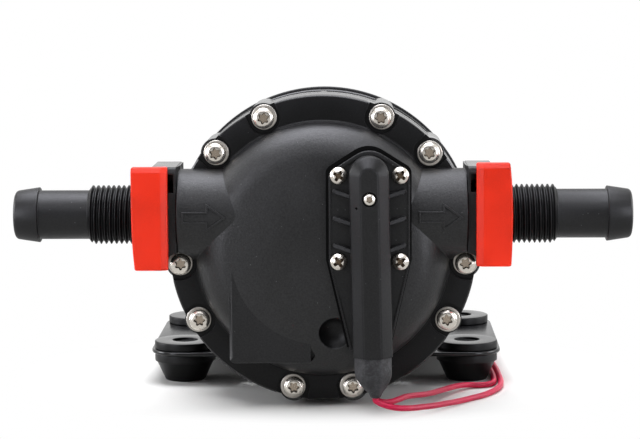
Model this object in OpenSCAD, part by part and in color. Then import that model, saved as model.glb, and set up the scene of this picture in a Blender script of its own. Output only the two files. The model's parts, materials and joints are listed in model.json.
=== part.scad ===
// Self-priming diaphragm water pump for a caravan: domed pump head with quick-connect
// ports, wobble-plate drive, permanent-magnet motor, pressure switch and rubber feet.
// Millimetres, +Z up. The origin is on the floor, in the middle of the four feet.
// The pump axis runs front to back: -Y is the front, where the dome and the switch are.

/* [Layout] */
// Height of the pump axis above the floor
axis_h = 56.3; // [56:0.1:70]
// How far the head joint lies in front of the middle of the feet
joint_front = 68; // [64:0.5:80]

/* [Pump head] */
// Outer radius of the head flange
flange_r = 54.3; // [53.5:0.1:56]
// Thickness of the head flange
flange_t = 13; // [12:0.5:15]
// Width of the flat rim outside the dome
rim_w = 9.3; // [8.8:0.1:10.3]
// Height of the dome above the flange
dome_h = 17.5; // [16:0.5:20]
// Radius of the shallow crown of the dome
crown_r = 200; // [150:5:300]
// Radius of the rounded shoulder of the dome
shoulder_r = 14; // [11:0.5:15]
// Wall of the dome
head_wall = 3.5; // [2.5:0.5:4]
// Radius of the outlet chamber in the middle of the head
outlet_r = 18.5; // [17.5:0.5:20]
// Wall round the outlet chamber
outlet_wall = 2.5; // [2:0.5:3]
// Chamfer on the flange edge
edge_chamfer = 0.6; // [0.3:0.1:1]

/* [Head screws] */
// How far the screw circle lies inside the flange edge
bolt_in = 3.5; // [2.8:0.1:4.3]
// Radius of the screw boss that bulges past the flange
boss_r = 5.3; // [5:0.1:6]
// Depth of the pocket round each screw
pocket_depth = 1.5; // [1:0.1:2.5]
// Width of the pocket
pocket_w = 12; // [11:0.5:13]
// Radius of the screw shank
screw_r = 2; // [1.8:0.1:2.2]
// Length of the screw under its head
screw_len = 24; // [20:1:28]
// Radius of the pan head
screw_head_r = 3.7; // [3.2:0.1:4]
// Height of the pan head
screw_head_h = 2.6; // [2:0.1:3]
// Outer radius of the washer
washer_r = 4.5; // [4.2:0.1:4.8]
// Thickness of the washer
washer_t = 0.8; // [0.5:0.1:1]

/* [Moulded features] */
// Left side of the flat block on the dome
block_left = -31.8; // [-33:0.1:-30]
// Right end of the flat block
block_right = -3.2; // [-5:0.1:-2]
// Underside of the flat block
block_low = -38.2; // [-39:0.1:-36]
// Height of the flat block above the flange
block_h = 14.6; // [14:0.1:15.5]
// Sideways place of the round recess
dimple_x = 4.4; // [3:0.1:6]
// Upward place of the round recess
dimple_y = -27.9; // [-30:0.1:-26]
// Rim radius of the round recess
dimple_r = 5.75; // [4.5:0.05:6]
// Depth of the round recess
dimple_depth = 3.2; // [2:0.1:4]

/* [Ports] */
// Height of the port axis above the pump axis
port_up = 12.4; // [11.5:0.1:13.5]
// Distance of the port axis in front of the head joint
port_fwd = 12.7; // [12.2:0.1:13]
// Outer radius of the port stub
stub_r = 15.2; // [14:0.1:16]
// Sideways reach of the port stub
stub_end = 51; // [50:0.5:51.5]
// Radius of the water way
duct_r = 7; // [6:0.1:7.5]
// Wall of the water way inside the head
duct_wall = 2.5; // [2:0.1:3]
// Radius of the socket that takes a fitting
socket_r = 10.3; // [10:0.1:10.6]
// Sideways place of the bottom of the socket
socket_floor = 46; // [45.5:0.5:47]
// Outer end of the clip guide
guide_end = 62; // [61.5:0.5:64]
// Half height of the clip guide
guide_h = 17; // [16.8:0.1:18]
// Front face of the clip guide, in front of the head joint
guide_front = 25; // [24.5:0.1:26]
// Length of the flow arrow on the stub
arrow_len = 14.5; // [12:0.5:15]
// Width of the flow arrow head
arrow_w = 8.6; // [7:0.1:10]

/* [Fittings] */
// Thread radius of the fitting, half-inch pipe thread
thread_r = 10.48; // [10.2:0.01:10.8]
// Length of the thread
thread_len = 16; // [14:0.5:18]
// Radius of the smooth tube between thread and barb
tube_r = 8.65; // [8.2:0.05:9]
// Length of the smooth tube
tube_len = 17.8; // [16:0.1:20]
// Largest radius of the hose barb
barb_r = 9.8; // [9.4:0.1:10.1]
// Radius of the barb at its tip
barb_tip_r = 8.4; // [7.8:0.1:9]
// Length of the barb
barb_len = 8.7; // [7:0.1:10]
// Bore of the fitting
fitting_bore = 6.5; // [5:0.1:6.6]
// Radius of the collar that stops against the clip guide
collar_r = 12.2; // [11.5:0.1:12.5]
// Length of the collar
collar_len = 4; // [3:0.1:4.5]
// Radius at the bottom of the clip and ring grooves
groove_r = 8.8; // [8.5:0.1:9]
// Width of the sealing-ring groove
ring_groove_w = 2; // [1.8:0.1:2.6]

/* [Slide clips] */
// Half height of the clip
clip_h = 18; // [17:0.1:19]
// Width of the clip along the port
clip_w = 12.6; // [12:0.1:13.5]
// Inner edge of the clip, sideways from the pump axis
clip_in = 53.6; // [53:0.1:54.5]
// Thickness of the front bridge of the clip
clip_t = 4; // [3:0.1:5]
// Narrowing of the clip at its lower end
clip_taper = 0.9; // [0.2:0.1:1.5]
// Bevel on the front edges of the clip
clip_bevel = 1.4; // [0.6:0.1:1.8]
// Thickness of the clip legs up and down
leg_t = 5.8; // [5:0.1:6]
// Width of the clip legs along the port
leg_w = 4.4; // [3.5:0.1:4.6]
// Length of the clip legs behind the bridge
leg_len = 21; // [18:0.5:22]

/* [Pump chamber] */
// How far the valve plate lies inside the side of the dome
plate_in = 1; // [0.5:0.1:1.5]
// Part of the valve plate that stands in the head
plate_rise = 3; // [2.5:0.1:3.5]
// Part of the valve plate that stands in the drive housing
plate_drop = 6; // [5.5:0.1:7]
// Distance of the chambers from the pump axis
chamber_pcr = 23; // [22.5:0.1:24]
// Radius of each pump chamber
chamber_r = 11; // [10.5:0.1:11.2]
// Radius of the inlet valve caps
inlet_valve_r = 5; // [4:0.1:5.5]
// Distance of the inlet valves from the pump axis
inlet_valve_pcr = 27; // [26:0.1:28]
// Radius of the outlet valve cap
outlet_valve_r = 17; // [16:0.1:17.2]
// Thickness of the valve rubber
valve_t = 1.2; // [0.8:0.1:1.4]
// Thickness of the diaphragm
diaphragm_t = 2; // [1.5:0.1:2.5]
// Radius of each piston
piston_r = 8.5; // [7.5:0.1:8.8]
// Length of each piston in front of the wobble plate
piston_len = 7; // [6:0.1:7.4]

/* [Drive] */
// Length of the drive housing
housing_len = 26; // [25:0.5:30]
// Width of the ledge that carries the diaphragm
ledge_w = 4; // [3:0.5:5]
// How far the flange of the motor adaptor stands out past the drive housing
adaptor_lip = 0.6; // [0.3:0.1:1]
// Thickness of the adaptor flange
adaptor_flange_t = 4; // [3:0.5:5]
// Length of the motor adaptor
adaptor_len = 14; // [13:0.5:18]
// Tilt of the wobble plate, in degrees
wobble_tilt = 3; // [1.5:0.1:3.2]
// Distance of the wobble centre behind the head joint
wobble_back = 17; // [16.8:0.1:18]
// Radius of the cam hub under the wobble bearing
hub_r = 7.5; // [7:0.1:8]
// Outer radius of the wobble bearing
wobble_bearing_r = 16; // [15.5:0.1:16.5]
// Width of the wobble bearing
wobble_bearing_w = 9; // [8:0.1:9.5]
// Outer radius of the front shaft bearing
shaft_bearing_r = 11; // [10.5:0.1:12]
// Width of the front shaft bearing
shaft_bearing_w = 7; // [6:0.1:7.5]

/* [Motor] */
// Outer radius of the motor can
can_r = 33; // [32:0.1:34]
// Length of the motor can
can_len = 78; // [74:1:90]
// Wall of the motor can
can_wall = 2.5; // [2:0.1:3]
// Length of the rear end cap
cap_len = 14; // [13:0.5:18]
// Radius of the motor shaft
shaft_r = 4; // [3.8:0.05:4.2]
// Thickness of the magnets
magnet_t = 6; // [5:0.1:6.5]
// Length of the armature core
core_len = 36; // [30:1:38]
// Air gap between armature and magnets
air_gap = 0.8; // [0.5:0.1:1.2]
// Radius of the commutator
commutator_r = 9; // [8:0.1:10]
// Length of the commutator
commutator_len = 13; // [11:0.5:14]

/* [Base] */
// Distance between the foot holes, side to side
foot_span_x = 107.3; // [100:0.1:116]
// Distance between the foot holes, front to back
foot_span_y = 60; // [56:0.1:70]
// Height of the rubber feet
foot_h = 15; // [14:0.1:17]
// Largest radius of a foot
foot_r = 11.5; // [10.5:0.1:12.2]
// Radius of a foot on the floor
foot_base_r = 7.5; // [6.5:0.1:9]
// Radius of the screw hole in a foot
foot_hole_r = 2.4; // [2:0.1:3]
// Radius of the recess for the screw head
foot_recess_r = 4.75; // [4:0.05:5.5]
// Thickness of the base plate
base_t = 1.5; // [1:0.1:2]
// Radius of the corners of the base plate
base_corner_r = 12.6; // [12.3:0.1:14]
// Thickness of the top disc of a foot
foot_disc_t = 3; // [2.5:0.1:4]
// Width of each cradle rib, front to back
rib_w = 12; // [8:0.5:14]
// Half width of the motor cradle
cradle_half = 24; // [20:0.5:26]

/* [Pressure switch] */
// Sideways place of the switch
switch_x = 16.5; // [16:0.1:17]
// Half width of the switch cover plate
cover_half = 14; // [13.5:0.1:14.5]
// Thickness of the switch cover plate
cover_t = 2.5; // [2:0.1:3]
// Seat of the switch above the top of the dome
seat_rise = 0.5; // [0.3:0.1:1]
// Half width of the ridge that holds the switch
ridge_half = 6.85; // [6.7:0.05:7.2]
// Height of the ridge above the plate
ridge_h = 9; // [8.6:0.1:10]
// Half width of the flat on top of the ridge
ridge_flat = 3.1; // [3:0.1:4]
// Upward place of the adjusting screw
adjuster_y = 20.4; // [20:0.1:21]
// Radius of the adjusting screw
adjuster_r = 2.1; // [2:0.05:2.3]
// Travel of the switch plunger
plunger_travel = 0.8; // [0.5:0.1:0.8]
// Head radius of the switch screws
cover_screw_head_r = 3; // [2.6:0.1:3.2]
// Length of the rubber boot below the ridge
boot_len = 14; // [12:0.5:15]

/* [Wires] */
// Radius of each wire with its insulation
wire_r = 1.05; // [0.9:0.05:1.1]

/* [Hidden] */
$fn = 64;

// Clearances: slide for moving faces, seat for faces that rest on each other,
// press for a part fixed on a shaft, run for a shaft that turns, over for a cut past a face,
// weld and sunk for solids that are joined to the one below
slide_gap = 0.3;
seat_gap = 0.1;
press_gap = 0.02;
run_gap = 0.05;
over = 1;
weld = 0.01;
sunk = 0.2;
arc_step = 15;
both_sides = [-1, 1];

// Radii that follow the flange
dome_r = flange_r - rim_w;
bolt_r = flange_r - bolt_in;
plate_r = dome_r - plate_in;
housing_ri = plate_r - ledge_w;
seal_out = 2.4;
seal_r = plate_r + seal_out;
seal_section_r = 0.85;
seal_side = 0.25;

// Head screws: every third place of a 24-degree pattern is free, where ports and ribs are
screw_step = 24;
screw_places = [1, 2, 4, 5, 7];
screw_angles = [for (side = both_sides, n = screw_places) side * n * screw_step];
pocket_z = flange_t - pocket_depth;
screw_clear = 0.2;
spot_clear = 0.6;
spotface_r = washer_r + spot_clear;
pan_side = 0.55;
pan_knee_r = 0.86;
pan_knee_h = 0.85;
pan_flat = 0.55;
hollow_wall = 2;
block_round = 2;
block_side_top = -9;
block_end_h = 15;
block_grain = 1;

// Dome: a shallow crown and a rounded shoulder that meet without a step
dome_top = flange_t + dome_h;
crown_cz = dome_top - crown_r;
shoulder_cr = dome_r - shoulder_r;
shoulder_cz = crown_cz + sqrt(pow(crown_r - shoulder_r, 2) - pow(shoulder_cr, 2));
crown_angle = asin(shoulder_cr / (crown_r - shoulder_r));
shoulder_steps = 10;
crown_steps = 5;

// Stack behind the head joint, as distances in front of it (negative is behind)
ledge_z = -plate_drop - diaphragm_t;
wobble_z = -wobble_back;
housing_z = -housing_len;
can_z = housing_z - adaptor_len;
bearing_z = can_z + shaft_bearing_w;
cap_z = can_z - can_len;
cap_end_z = cap_z - cap_len;
adaptor_wall = shaft_bearing_w - 1;
adaptor_wall_z = can_z + adaptor_wall;

// Ports
guide_chamfer = 2;
guide_corner = 2.6;
guide_show = 1.6;
lug_back = 2;
lug_drop = 4;
stub_edge = 0.8;
neck_wall = 1.9;
slot_step = 0.8;
clip_slot_in = stub_end + slot_step;
leg_shift = 2.2;
leg_mid = clip_in + clip_w / 2 - leg_shift;
leg_root = 1.2;
clip_edge = clip_bevel / 3;
leg_in_y = groove_r + slide_gap;
clip_back = max(guide_front, port_fwd + collar_r) + slide_gap;
clip_front = clip_back + clip_t;
leg_tip = clip_back - leg_len;
collar_end = guide_end + slide_gap + collar_len;
thread_end = collar_end + thread_len;
tube_end = thread_end + tube_len;
fitting_end = tube_end + barb_len;
spigot_gap = 0.5;
spigot_in = socket_floor + spigot_gap;
spigot_edge = 0.8;
thread_edge = 1;
barb_edge = 0.5;
barb_tip_round = 1.2;
ring_wall = 1.8;
ring_groove_x = spigot_in + ring_wall;
ring_r = (socket_r - groove_r) / 2 - run_gap;
arrow_line = 0.7;
arrow_rise = 0.35;
arrow_root = 0.5;
arrow_up = 0.3;
arrow_back = 9.8;
arrow_mid = stub_end - arrow_back;
shaft_share = 0.42;
head_share = 0.42;

// Valves, pistons and diaphragm
chamber_angles = [0, 90, 180, 270];
valve_stem_r = 1.4;
valve_hole_r = 0.9;
valve_hole_share = 0.6;
valve_hole_angles = [45, 135, 225, 315];
stem_head_t = 1;
stem_head_out = 0.7;
outlet_stem_r = 2.4;
outlet_seat = 1.4;
outlet_head_t = 1.5;
outlet_head_out = 1;
outlet_hole_in = 2.3;
outlet_hole_pcr = chamber_pcr - chamber_r + outlet_hole_in;
outlet_hole_r = 1.5;
outlet_hole_turns = [-12, 0, 12];
pad_front = 6;
pad_back = 2;
piston_sway = (pad_front + piston_len) * sin(wobble_tilt);
piston_hole_r = piston_r + piston_sway + slide_gap;
piston_screw_r = 1.5;
piston_screw_head_r = 2.8;
piston_screw_head_h = 1.6;
piston_screw_reach = 1;
piston_sink = 2;

// Drive
race_t = 2.6;
shaft_race_t = 2;
wobble_ring_wall = 3.5;
wobble_balls = 9;
shaft_balls = 8;
hub_shoulder_t = 2;
hub_collar_r = 8;
hub_step = 1;
set_screw_r = 1.5;
set_screw_in = 0.4;
set_screw_hex_r = 0.85;
set_screw_hex_t = 1.6;
wobble_arm_w = 4;
adaptor_screw_in = 7.3;
adaptor_screw_pcr = flange_r - adaptor_screw_in;
adaptor_screw_angles = [36, 108, 180, 252, 324];
adaptor_screw_r = 1.75;
adaptor_screw_len = 12;
adaptor_screw_depth = 9;
adaptor_step = 6;
adaptor_web = 3.5;
web_out = 2;
neck_in = 1;
neck_len = 3;
bearing_lip = 0.5;
motor_screw_pcr = 20;
motor_screw_angles = [45, 135, 225, 315];
motor_screw_r = 2;
motor_screw_head_r = 3.5;
motor_screw_head_h = 2.4;
motor_screw_short = 0.5;
housing_ribs = 15;
rib_t = 2.4;
rib_depth = 1.6;
groove_low = 5;
groove_high = 9;
boss_short = 3;

// Motor
can_ri = can_r - can_wall;
can_front_t = 3;
can_hole_in = 1;
magnet_ri = can_ri - magnet_t;
magnet_span = 124;
magnet_over = 2;
magnet_len = core_len + 2 * magnet_over;
core_r = magnet_ri - air_gap;
core_share = 0.31;
core_front = can_z - core_share * can_len;
core_back = core_front - core_len;
slot_count = 12;
slot_w = 3;
slot_depth = 8;
slot_liner = 0.2;
end_turn_len = 8;
turn_in = 2.4;
turn_depth = 3;
commutator_in = 9;
commutator_z = cap_z + commutator_in;
riser_out = 1.2;
riser_t = 2;
segment_gap = 0.5;
segment_depth = 1;
brush_w = 6;
brush_t = 8;
brush_len = 10;
brush_box_wall = 1.2;
brush_plate_t = 2;
brush_plate_gap = 1.2;
brush_plate_z = commutator_z - commutator_len - brush_plate_gap;
holder_gap = 2;
holder_play = 0.5;
brush_mid_z = brush_plate_z + brush_plate_t + brush_box_wall + seat_gap + brush_t / 2;
brush_spring_len = 6;
brush_spring_r = 2;
brush_spring_turns = 5;
brush_spring_wire_r = 0.35;
through_bolt_in = 5.5;
through_bolt_pcr = can_r - through_bolt_in;
through_bolt_angles = [90, 270];
through_bolt_r = 2;
through_bolt_head_r = 3.5;
through_bolt_head_h = 2.2;
through_bolt_short = 0.6;
bolt_sink_r = through_bolt_head_r + slide_gap;
bolt_sink_t = 2.4;
bush_r = 7;
bush_len = 8;
bush_wall = 2.5;
bush_root = 0.5;
bush_cover = 2;
bush_z = cap_end_z + bush_cover;
shaft_tip = wobble_z + wobble_bearing_w / 2;
grommet_angle = 150;
grommet_pcr = 21;
grommet_r = 4.5;
grommet_neck_r = 3.4;
grommet_flange_t = 1.6;
cap_wall = 3;
cap_round = 5;

// Base
foot_x = foot_span_x / 2;
foot_y = foot_span_y / 2;
base_top = foot_h - foot_disc_t;
base_z = base_top - base_t;
foot_band_t = 3;
foot_neck_r = 8;
foot_recess_t = 1;
foot_edge = 0.5;
foot_top_edge = 0.9;
can_front_y = -joint_front - can_z;
rib_front_share = 0.155;
rib_rear_share = 0.72;
rib_front_y = can_front_y + rib_front_share * can_len;
rib_rear_y = can_front_y + rib_rear_share * can_len;
rib_places = [rib_front_y, rib_rear_y];
cradle_pad_t = 3;
cradle_wrap = 9;
cradle_lean = 3;
notch_gap = 1.5;
cradle_screw_x = 12;
cradle_screw_r = 2;
cradle_screw_head_r = 3.6;
cradle_screw_head_h = 2.2;
cradle_screw_short = 1;

// Pressure switch
seat_z = dome_top + seat_rise;
cover_z = seat_z + cover_t;
ridge_top = cover_z + ridge_h;
ridge_chamfer = 4;
ridge_lean = 1.1;
ridge_head_y = 28;
ridge_foot_y = -34.5;
cover_shoulder_y = 29;
cover_low_y = -2.3;
cover_taper_y = -33;
cover_rim = 1.5;
cover_arc_from = 45;
cover_screw_x = 10.6;
cover_screw_high = 27.4;
cover_screw_low = -1.2;
cover_screw_head_h = 2;
cover_screw_r = 1.4;
cover_screw_len = 9;
cover_screw_short = 1;
post_r = 3.6;
gusset_y = [21.8, 12.4, 3];
gusset_t = 1.6;
gusset_h = 4;
gusset_lean = 17;
gusset_end = 0.9;
gusset_tip = 0.4;
ridge_wall = 1.9;
ridge_roof = 2;
ridge_foot_wall = 3;
plunger_room = 1;
micro_room = 1.4;
seat_inset = 0.6;
sense_r = 1.5;
sense_up = 2;
sense_y = port_up + sense_up;
pad_r = 9.5;
pad_t = 1;
pressure_r = 6.5;
pressure_t = 2.6;
plunger_foot_r = 4.6;
plunger_foot_t = 1.5;
plunger_stem_r = 1.8;
plunger_stem_len = 4;
plunger_arm_len = 12;
plunger_arm_w = 3;
button_r = 1.2;
button_out = 1.3;
button_in = 2.2;
button_gap = slide_gap;
button_play = 0.2;
micro_len = 20;
micro_below = 3;
micro_low = seat_z + seat_gap + plunger_foot_t + button_gap + button_out;
micro_high = ridge_top - ridge_chamfer - ridge_roof + micro_room - seat_gap;
button_y = adjuster_y - plunger_arm_len;
adjuster_sink = 0.9;
adjuster_hex_r = 1.15;
adjuster_hex_t = 1.8;
adjuster_recess_r = 3;
spring_wire_r = 0.4;
spring_r = 2.5;
spring_turns = 4;
spring_steps = 12;
spring_sides = 6;
boot_lean = 1.9;
boot_tip_r = 1.95;
boot_waist = 0.88;
boot_waist_at = 0.48;
boot_neck_at = 0.74;
boot_slab = 1;
boot_step = 0.4;
wire_pitch = 2.3;
wire_sides = 8;
wire_ref = [1, -1, 0.4];
wire_colour = "#c8284b";

// Wire routes on the floor, from the switch boot round the right front foot.
// The boot end is worked out from the boot; the other points are chosen by hand.
boot_tip_x = switch_x + boot_lean;
boot_tip_y = -joint_front - (cover_z + ridge_top) / 2;
boot_tip_z = axis_h + ridge_foot_y - boot_len;
boot_exit = [boot_tip_x, boot_tip_y, boot_tip_z];
supply_route = [[18.45, -104.9, 7], [19.6, -105, 6.3], [21.4, -105.2, 5.9], [23.7, -104.2, 5.8],
                [26.2, -101, 5.9], [29.1, -95.3, 5.8], [32, -90, 5.2], [35.3, -85, 4.5],
                [38.3, -79, 3.8], [41.5, -72, 3.2], [44.7, -64.5, 2.6], [48.3, -57.5, 2.1],
                [51.4, -53.3, 1.7], [54.2, -50.9, 1.3], [57.6, -50, 1.1], [60.8, -48.4, 1.1],
                [62.8, -44.8, 1.1], [63.5, -39, 1.1], [63.6, -32, 1.1], [63.5, -25, 1.1],
                [63.2, -17, 1.1], [62.8, -8, 1.1], [62.4, 2, 1.1], [62.4, 12, 1.1], [62.8, 21, 1.1],
                [63.4, 30, 1.1], [63.4, 39, 1.1], [62.8, 47, 1.1], [61.4, 55, 1.1], [59.2, 63, 1.1],
                [56.2, 70.5, 1.1], [52.4, 77.5, 1.1], [47.5, 83, 1.1], [41.5, 87, 1.1],
                [35, 89.5, 1.1]];
motor_route = [[18.45, -107.2, 7], [19.5, -107.4, 6.2], [21.3, -108, 5.5], [23.7, -108.4, 4.9],
               [26.1, -108, 4.4], [28.9, -106.5, 4], [31.8, -103.5, 3.5], [35, -99.8, 3.1],
               [37.9, -96.4, 2.7], [40.8, -92.3, 2.3], [43.8, -87.8, 1.9], [47.2, -83, 1.5],
               [50.3, -78.4, 1.2], [53.7, -73.9, 1.1], [56.8, -70.3, 1.1], [59.8, -65.6, 1.1],
               [62.4, -60, 1.1], [64.4, -53.6, 1.1], [65.5, -47, 1.1], [65.9, -39, 1.1],
               [65.9, -30, 1.1], [65.7, -20, 1.1], [65.2, -10, 1.1], [64.8, 0, 1.1], [64.8, 10, 1.1],
               [65.2, 20, 1.1], [65.7, 30, 1.1], [65.8, 40, 1.1], [65.3, 50, 1.3], [63.9, 60, 2.2],
               [60.9, 69, 4.6], [55.7, 76, 8.6], [48.5, 80.6, 14], [39.8, 82.6, 20.4], [31, 82.4, 26.6],
               [23.4, 80, 32], [17.4, 76, 36]];

// Places children in the pump's own directions: x right, y up, z forward from the head joint
module pump() { translate([0, -joint_front, axis_h]) rotate([90, 0, 0]) children(); }

// Turns children to the axis of the tilted cam hub
module tilted() { translate([0, 0, wobble_z]) rotate([wobble_tilt, 0, 0]) children(); }

// Mirrors what is drawn for the right-hand port to the given side
module port_side(side) { mirror([side < 0 ? 1 : 0, 0, 0]) children(); }

// Turns children so that their z runs out along the right-hand port
module along_port(x) { translate([x, port_up, port_fwd]) rotate([0, 90, 0]) children(); }

// Turns children about the adjusting screw, as the ridge leans over its plate
module leaned() {
    translate([0, adjuster_y, 0]) rotate(ridge_lean) translate([0, -adjuster_y, 0]) children();
}

// Copies children round the pump axis, by angles from the top
module round_axis(angles, r) { for (a = angles) rotate(-a) translate([0, r, 0]) children(); }

module rod(r, low, high) { translate([0, 0, low]) cylinder(r = r, h = high - low); }

module tube(ro, ri, low, high) {
    difference() {
        rod(ro, low, high);
        rod(ri, low - over, high + over);
    }
}

module pan_screw(shank_r, len, head_r, head_h) {
    rod(shank_r, -len, weld);
    rotate_extrude()
        polygon([[0, 0], [head_r, 0], [head_r, head_h * pan_side],
                 [head_r * pan_knee_r, head_h * pan_knee_h], [head_r * pan_flat, head_h], [0, head_h]]);
}

// A ball bearing: an outer race, an inner race and balls that just clear both
module race(ro, ri, w) { tube(ro, ri, -w / 2, w / 2); }

module balls(ri, ro, count) {
    ball_r = (ro - ri) / 2 - press_gap;
    for (n = [0 : count - 1]) rotate(n * 360 / count)
        translate([(ri + ro) / 2, 0, 0]) sphere(r = ball_r);
}

// Tubes along a route: rings of points joined by triangles
function unit(v) = v / norm(v);
function tangent(p, i) = unit(p[min(i + 1, len(p) - 1)] - p[max(i - 1, 0)]);
function ring(p, i, r, sides, ref) =
    let (t = tangent(p, i), n = unit(cross(ref, t)), b = cross(t, n))
    [for (k = [0 : sides - 1]) p[i] + r * (cos(k * 360 / sides) * n + sin(k * 360 / sides) * b)];

module swept(p, r, sides, ref) {
    last = len(p) - 1;
    points = [for (i = [0 : last], q = ring(p, i, r, sides, ref)) q];
    skin = [for (i = [0 : last - 1], k = [0 : sides - 1])
        let (a = i * sides + k, b = i * sides + (k + 1) % sides)
        each [[a, a + sides, b + sides], [a, b + sides, b]]];
    start = [for (k = [1 : sides - 2]) [0, k, k + 1]];
    finish = [for (k = [1 : sides - 2]) [last * sides, last * sides + k + 1, last * sides + k]];
    polyhedron(points = points, faces = concat(skin, start, finish));
}

function helix(r, length, turns, steps) =
    [for (i = [0 : turns * steps]) let (a = i * 360 / steps)
        [r * cos(a), r * sin(a), length * i / (turns * steps)]];

module coil_spring(r, length, turns, wire) {
    translate([0, 0, wire])
        swept(helix(r, length - 2 * wire, turns, spring_steps), wire, spring_sides, [0, 0, 1]);
}

// Outline of the dome, set in by the given wall and starting at the given base
function dome_profile(inset, base) = concat(
    [[0, base], [dome_r - inset, base]],
    [for (i = [0 : shoulder_steps]) let (a = i * (90 - crown_angle) / shoulder_steps)
        [shoulder_cr + (shoulder_r - inset) * cos(a), shoulder_cz + (shoulder_r - inset) * sin(a)]],
    [for (i = [1 : crown_steps]) let (a = crown_angle * (1 - i / crown_steps))
        [(crown_r - inset) * sin(a), crown_cz + (crown_r - inset) * cos(a)]]);

module dome(inset, base) { rotate_extrude() polygon(dome_profile(inset, base)); }

module flange_ring() {
    difference() {
        rotate_extrude()
            polygon([[0, 0], [flange_r, 0], [flange_r, flange_t - edge_chamfer],
                     [flange_r - edge_chamfer, flange_t], [0, flange_t]]);
        round_axis(screw_angles, bolt_r) {
            rod(pocket_w / 2, pocket_z, flange_t + over);
            translate([-pocket_w / 2, 0, pocket_z])
                cube([pocket_w, boss_r + over, pocket_depth + over]);
        }
    }
    round_axis(screw_angles, bolt_r) rod(boss_r, 0, pocket_z);
}

// Port stub with its neck and clip guide, drawn for the right-hand side and cut flat at the joint
module port_stub() {
    stub_from = dome_r - shoulder_r;
    neck_r = socket_r + neck_wall;
    intersection() {
        along_port(0) rotate_extrude()
            polygon([[0, stub_from], [stub_r, stub_from], [stub_r, stub_end - stub_edge],
                     [stub_r - stub_edge, stub_end], [neck_r, stub_end], [neck_r, clip_in], [0, clip_in]]);
        translate([0, port_up - 2 * stub_r, 0]) cube([2 * guide_end, 4 * stub_r, 4 * stub_r]);
    }
    translate([0, port_up, 0]) intersection() {
        union() {
            linear_extrude(guide_front) guide_face(clip_in - guide_show);
            linear_extrude(guide_front - lug_drop) guide_face(stub_end - lug_back);
        }
        rotate([0, 90, 0]) linear_extrude(2 * guide_end) guide_end_face();
    }
}

module guide_face(inner) {
    for (up = [0, 1]) mirror([0, up, 0])
        polygon([[inner, 0], [guide_end, 0], [guide_end, guide_h - guide_corner],
                 [guide_end - guide_corner, guide_h], [inner, guide_h]]);
}

module guide_end_face() {
    for (up = [0, 1]) mirror([0, up, 0])
        polygon([[0, 0], [0, guide_h], [guide_chamfer - guide_front, guide_h],
                 [-guide_front, guide_h - guide_chamfer], [-guide_front, 0]]);
}

// Slots in the clip guide for the two legs of the clip, open to the front
module clip_slots() {
    slot_in_y = leg_in_y - slide_gap;
    slot_t = leg_t + 2 * slide_gap;
    slot_end = leg_mid + leg_w / 2 + slide_gap;
    for (up = [0, 1]) translate([0, port_up, 0]) mirror([0, up, 0])
        translate([clip_slot_in, slot_in_y, leg_tip - slide_gap])
            cube([slot_end - clip_slot_in, slot_t, guide_front]);
}

module arrow_outline(grow) {
    head_x = arrow_len / 2 - arrow_len * head_share;
    half = arrow_w / 2;
    shaft = half * shaft_share;
    polygon([[-arrow_len / 2 - grow, -shaft - grow], [head_x - grow, -shaft - grow],
             [head_x - grow, -half - 2 * grow], [arrow_len / 2 + 2 * grow, 0],
             [head_x - grow, half + 2 * grow], [head_x - grow, shaft + grow],
             [-arrow_len / 2 - grow, shaft + grow]]);
}

// Raised flow arrow on a port stub, pointing the way the water goes
module flow_arrow(side) {
    intersection() {
        translate([side * arrow_mid, port_up + arrow_up, port_fwd]) linear_extrude(2 * stub_r)
            difference() {
                arrow_outline(arrow_line / 2);
                arrow_outline(-arrow_line / 2);
            }
        port_side(side) along_port(0) difference() {
            cylinder(r = stub_r + arrow_rise, h = stub_end);
            translate([0, 0, -over]) cylinder(r = stub_r - arrow_root, h = stub_end + 2 * over);
        }
    }
}

module flat_block() {
    translate([0, 0, pocket_z]) linear_extrude(flange_t + block_h - pocket_z) hull() {
        translate([block_left + block_round, block_low + block_round]) circle(r = block_round, $fn = 32);
        translate([block_left, block_side_top - block_grain]) square(block_grain);
        translate([block_right - block_grain, block_low]) square([block_grain, block_end_h]);
    }
}

// Outline of the switch plate about its own middle line: round at the top, tapered below
module cover_outline(inset) {
    half = cover_half - inset;
    top_r = ridge_half + cover_rim - inset;
    polygon(concat(
        [[half, cover_low_y], [half, cover_shoulder_y - inset]],
        [for (a = [cover_arc_from : arc_step : 180 - cover_arc_from])
            [top_r * cos(a), ridge_head_y + top_r * sin(a)]],
        [[-half, cover_shoulder_y - inset], [-half, cover_low_y],
         [inset - ridge_half, cover_taper_y], [ridge_half - inset, cover_taper_y]]));
}

module switch_screw_places() {
    for (side = both_sides, y = [cover_screw_low, cover_screw_high])
        translate([switch_x + side * cover_screw_x, y, 0]) children();
}

// Water spaces of the head: inlet ring, outlet chamber and their ways to the ports
module head_spaces() {
    difference() {
        dome(head_wall, plate_rise);
        tube(outlet_r + outlet_wall, outlet_r, 0, dome_top);
        intersection() {
            along_port(outlet_r) cylinder(r = duct_r + duct_wall, h = dome_r);
            translate([0, 0, plate_rise - over]) cylinder(r = dome_r, h = dome_top);
        }
        translate([switch_x, sense_y, port_fwd]) cylinder(r = sense_r + duct_wall, h = dome_top);
        switch_screw_places() rod(post_r, seat_z - cover_screw_len - hollow_wall, dome_top);
        translate([dimple_x, dimple_y, 0])
            rod(dimple_r + hollow_wall, dome_top - head_wall - dimple_depth - hollow_wall, dome_top);
        translate([switch_x, adjuster_y, 0])
            rod(pressure_r + hollow_wall, seat_z - pressure_t - pad_t - hollow_wall, dome_top);
    }
    along_port(outlet_r / 2) cylinder(r = duct_r, h = socket_floor + over - outlet_r / 2);
    port_side(-1) along_port(outlet_r + duct_r)
        cylinder(r = duct_r, h = socket_floor + over - outlet_r - duct_r);
}

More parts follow.
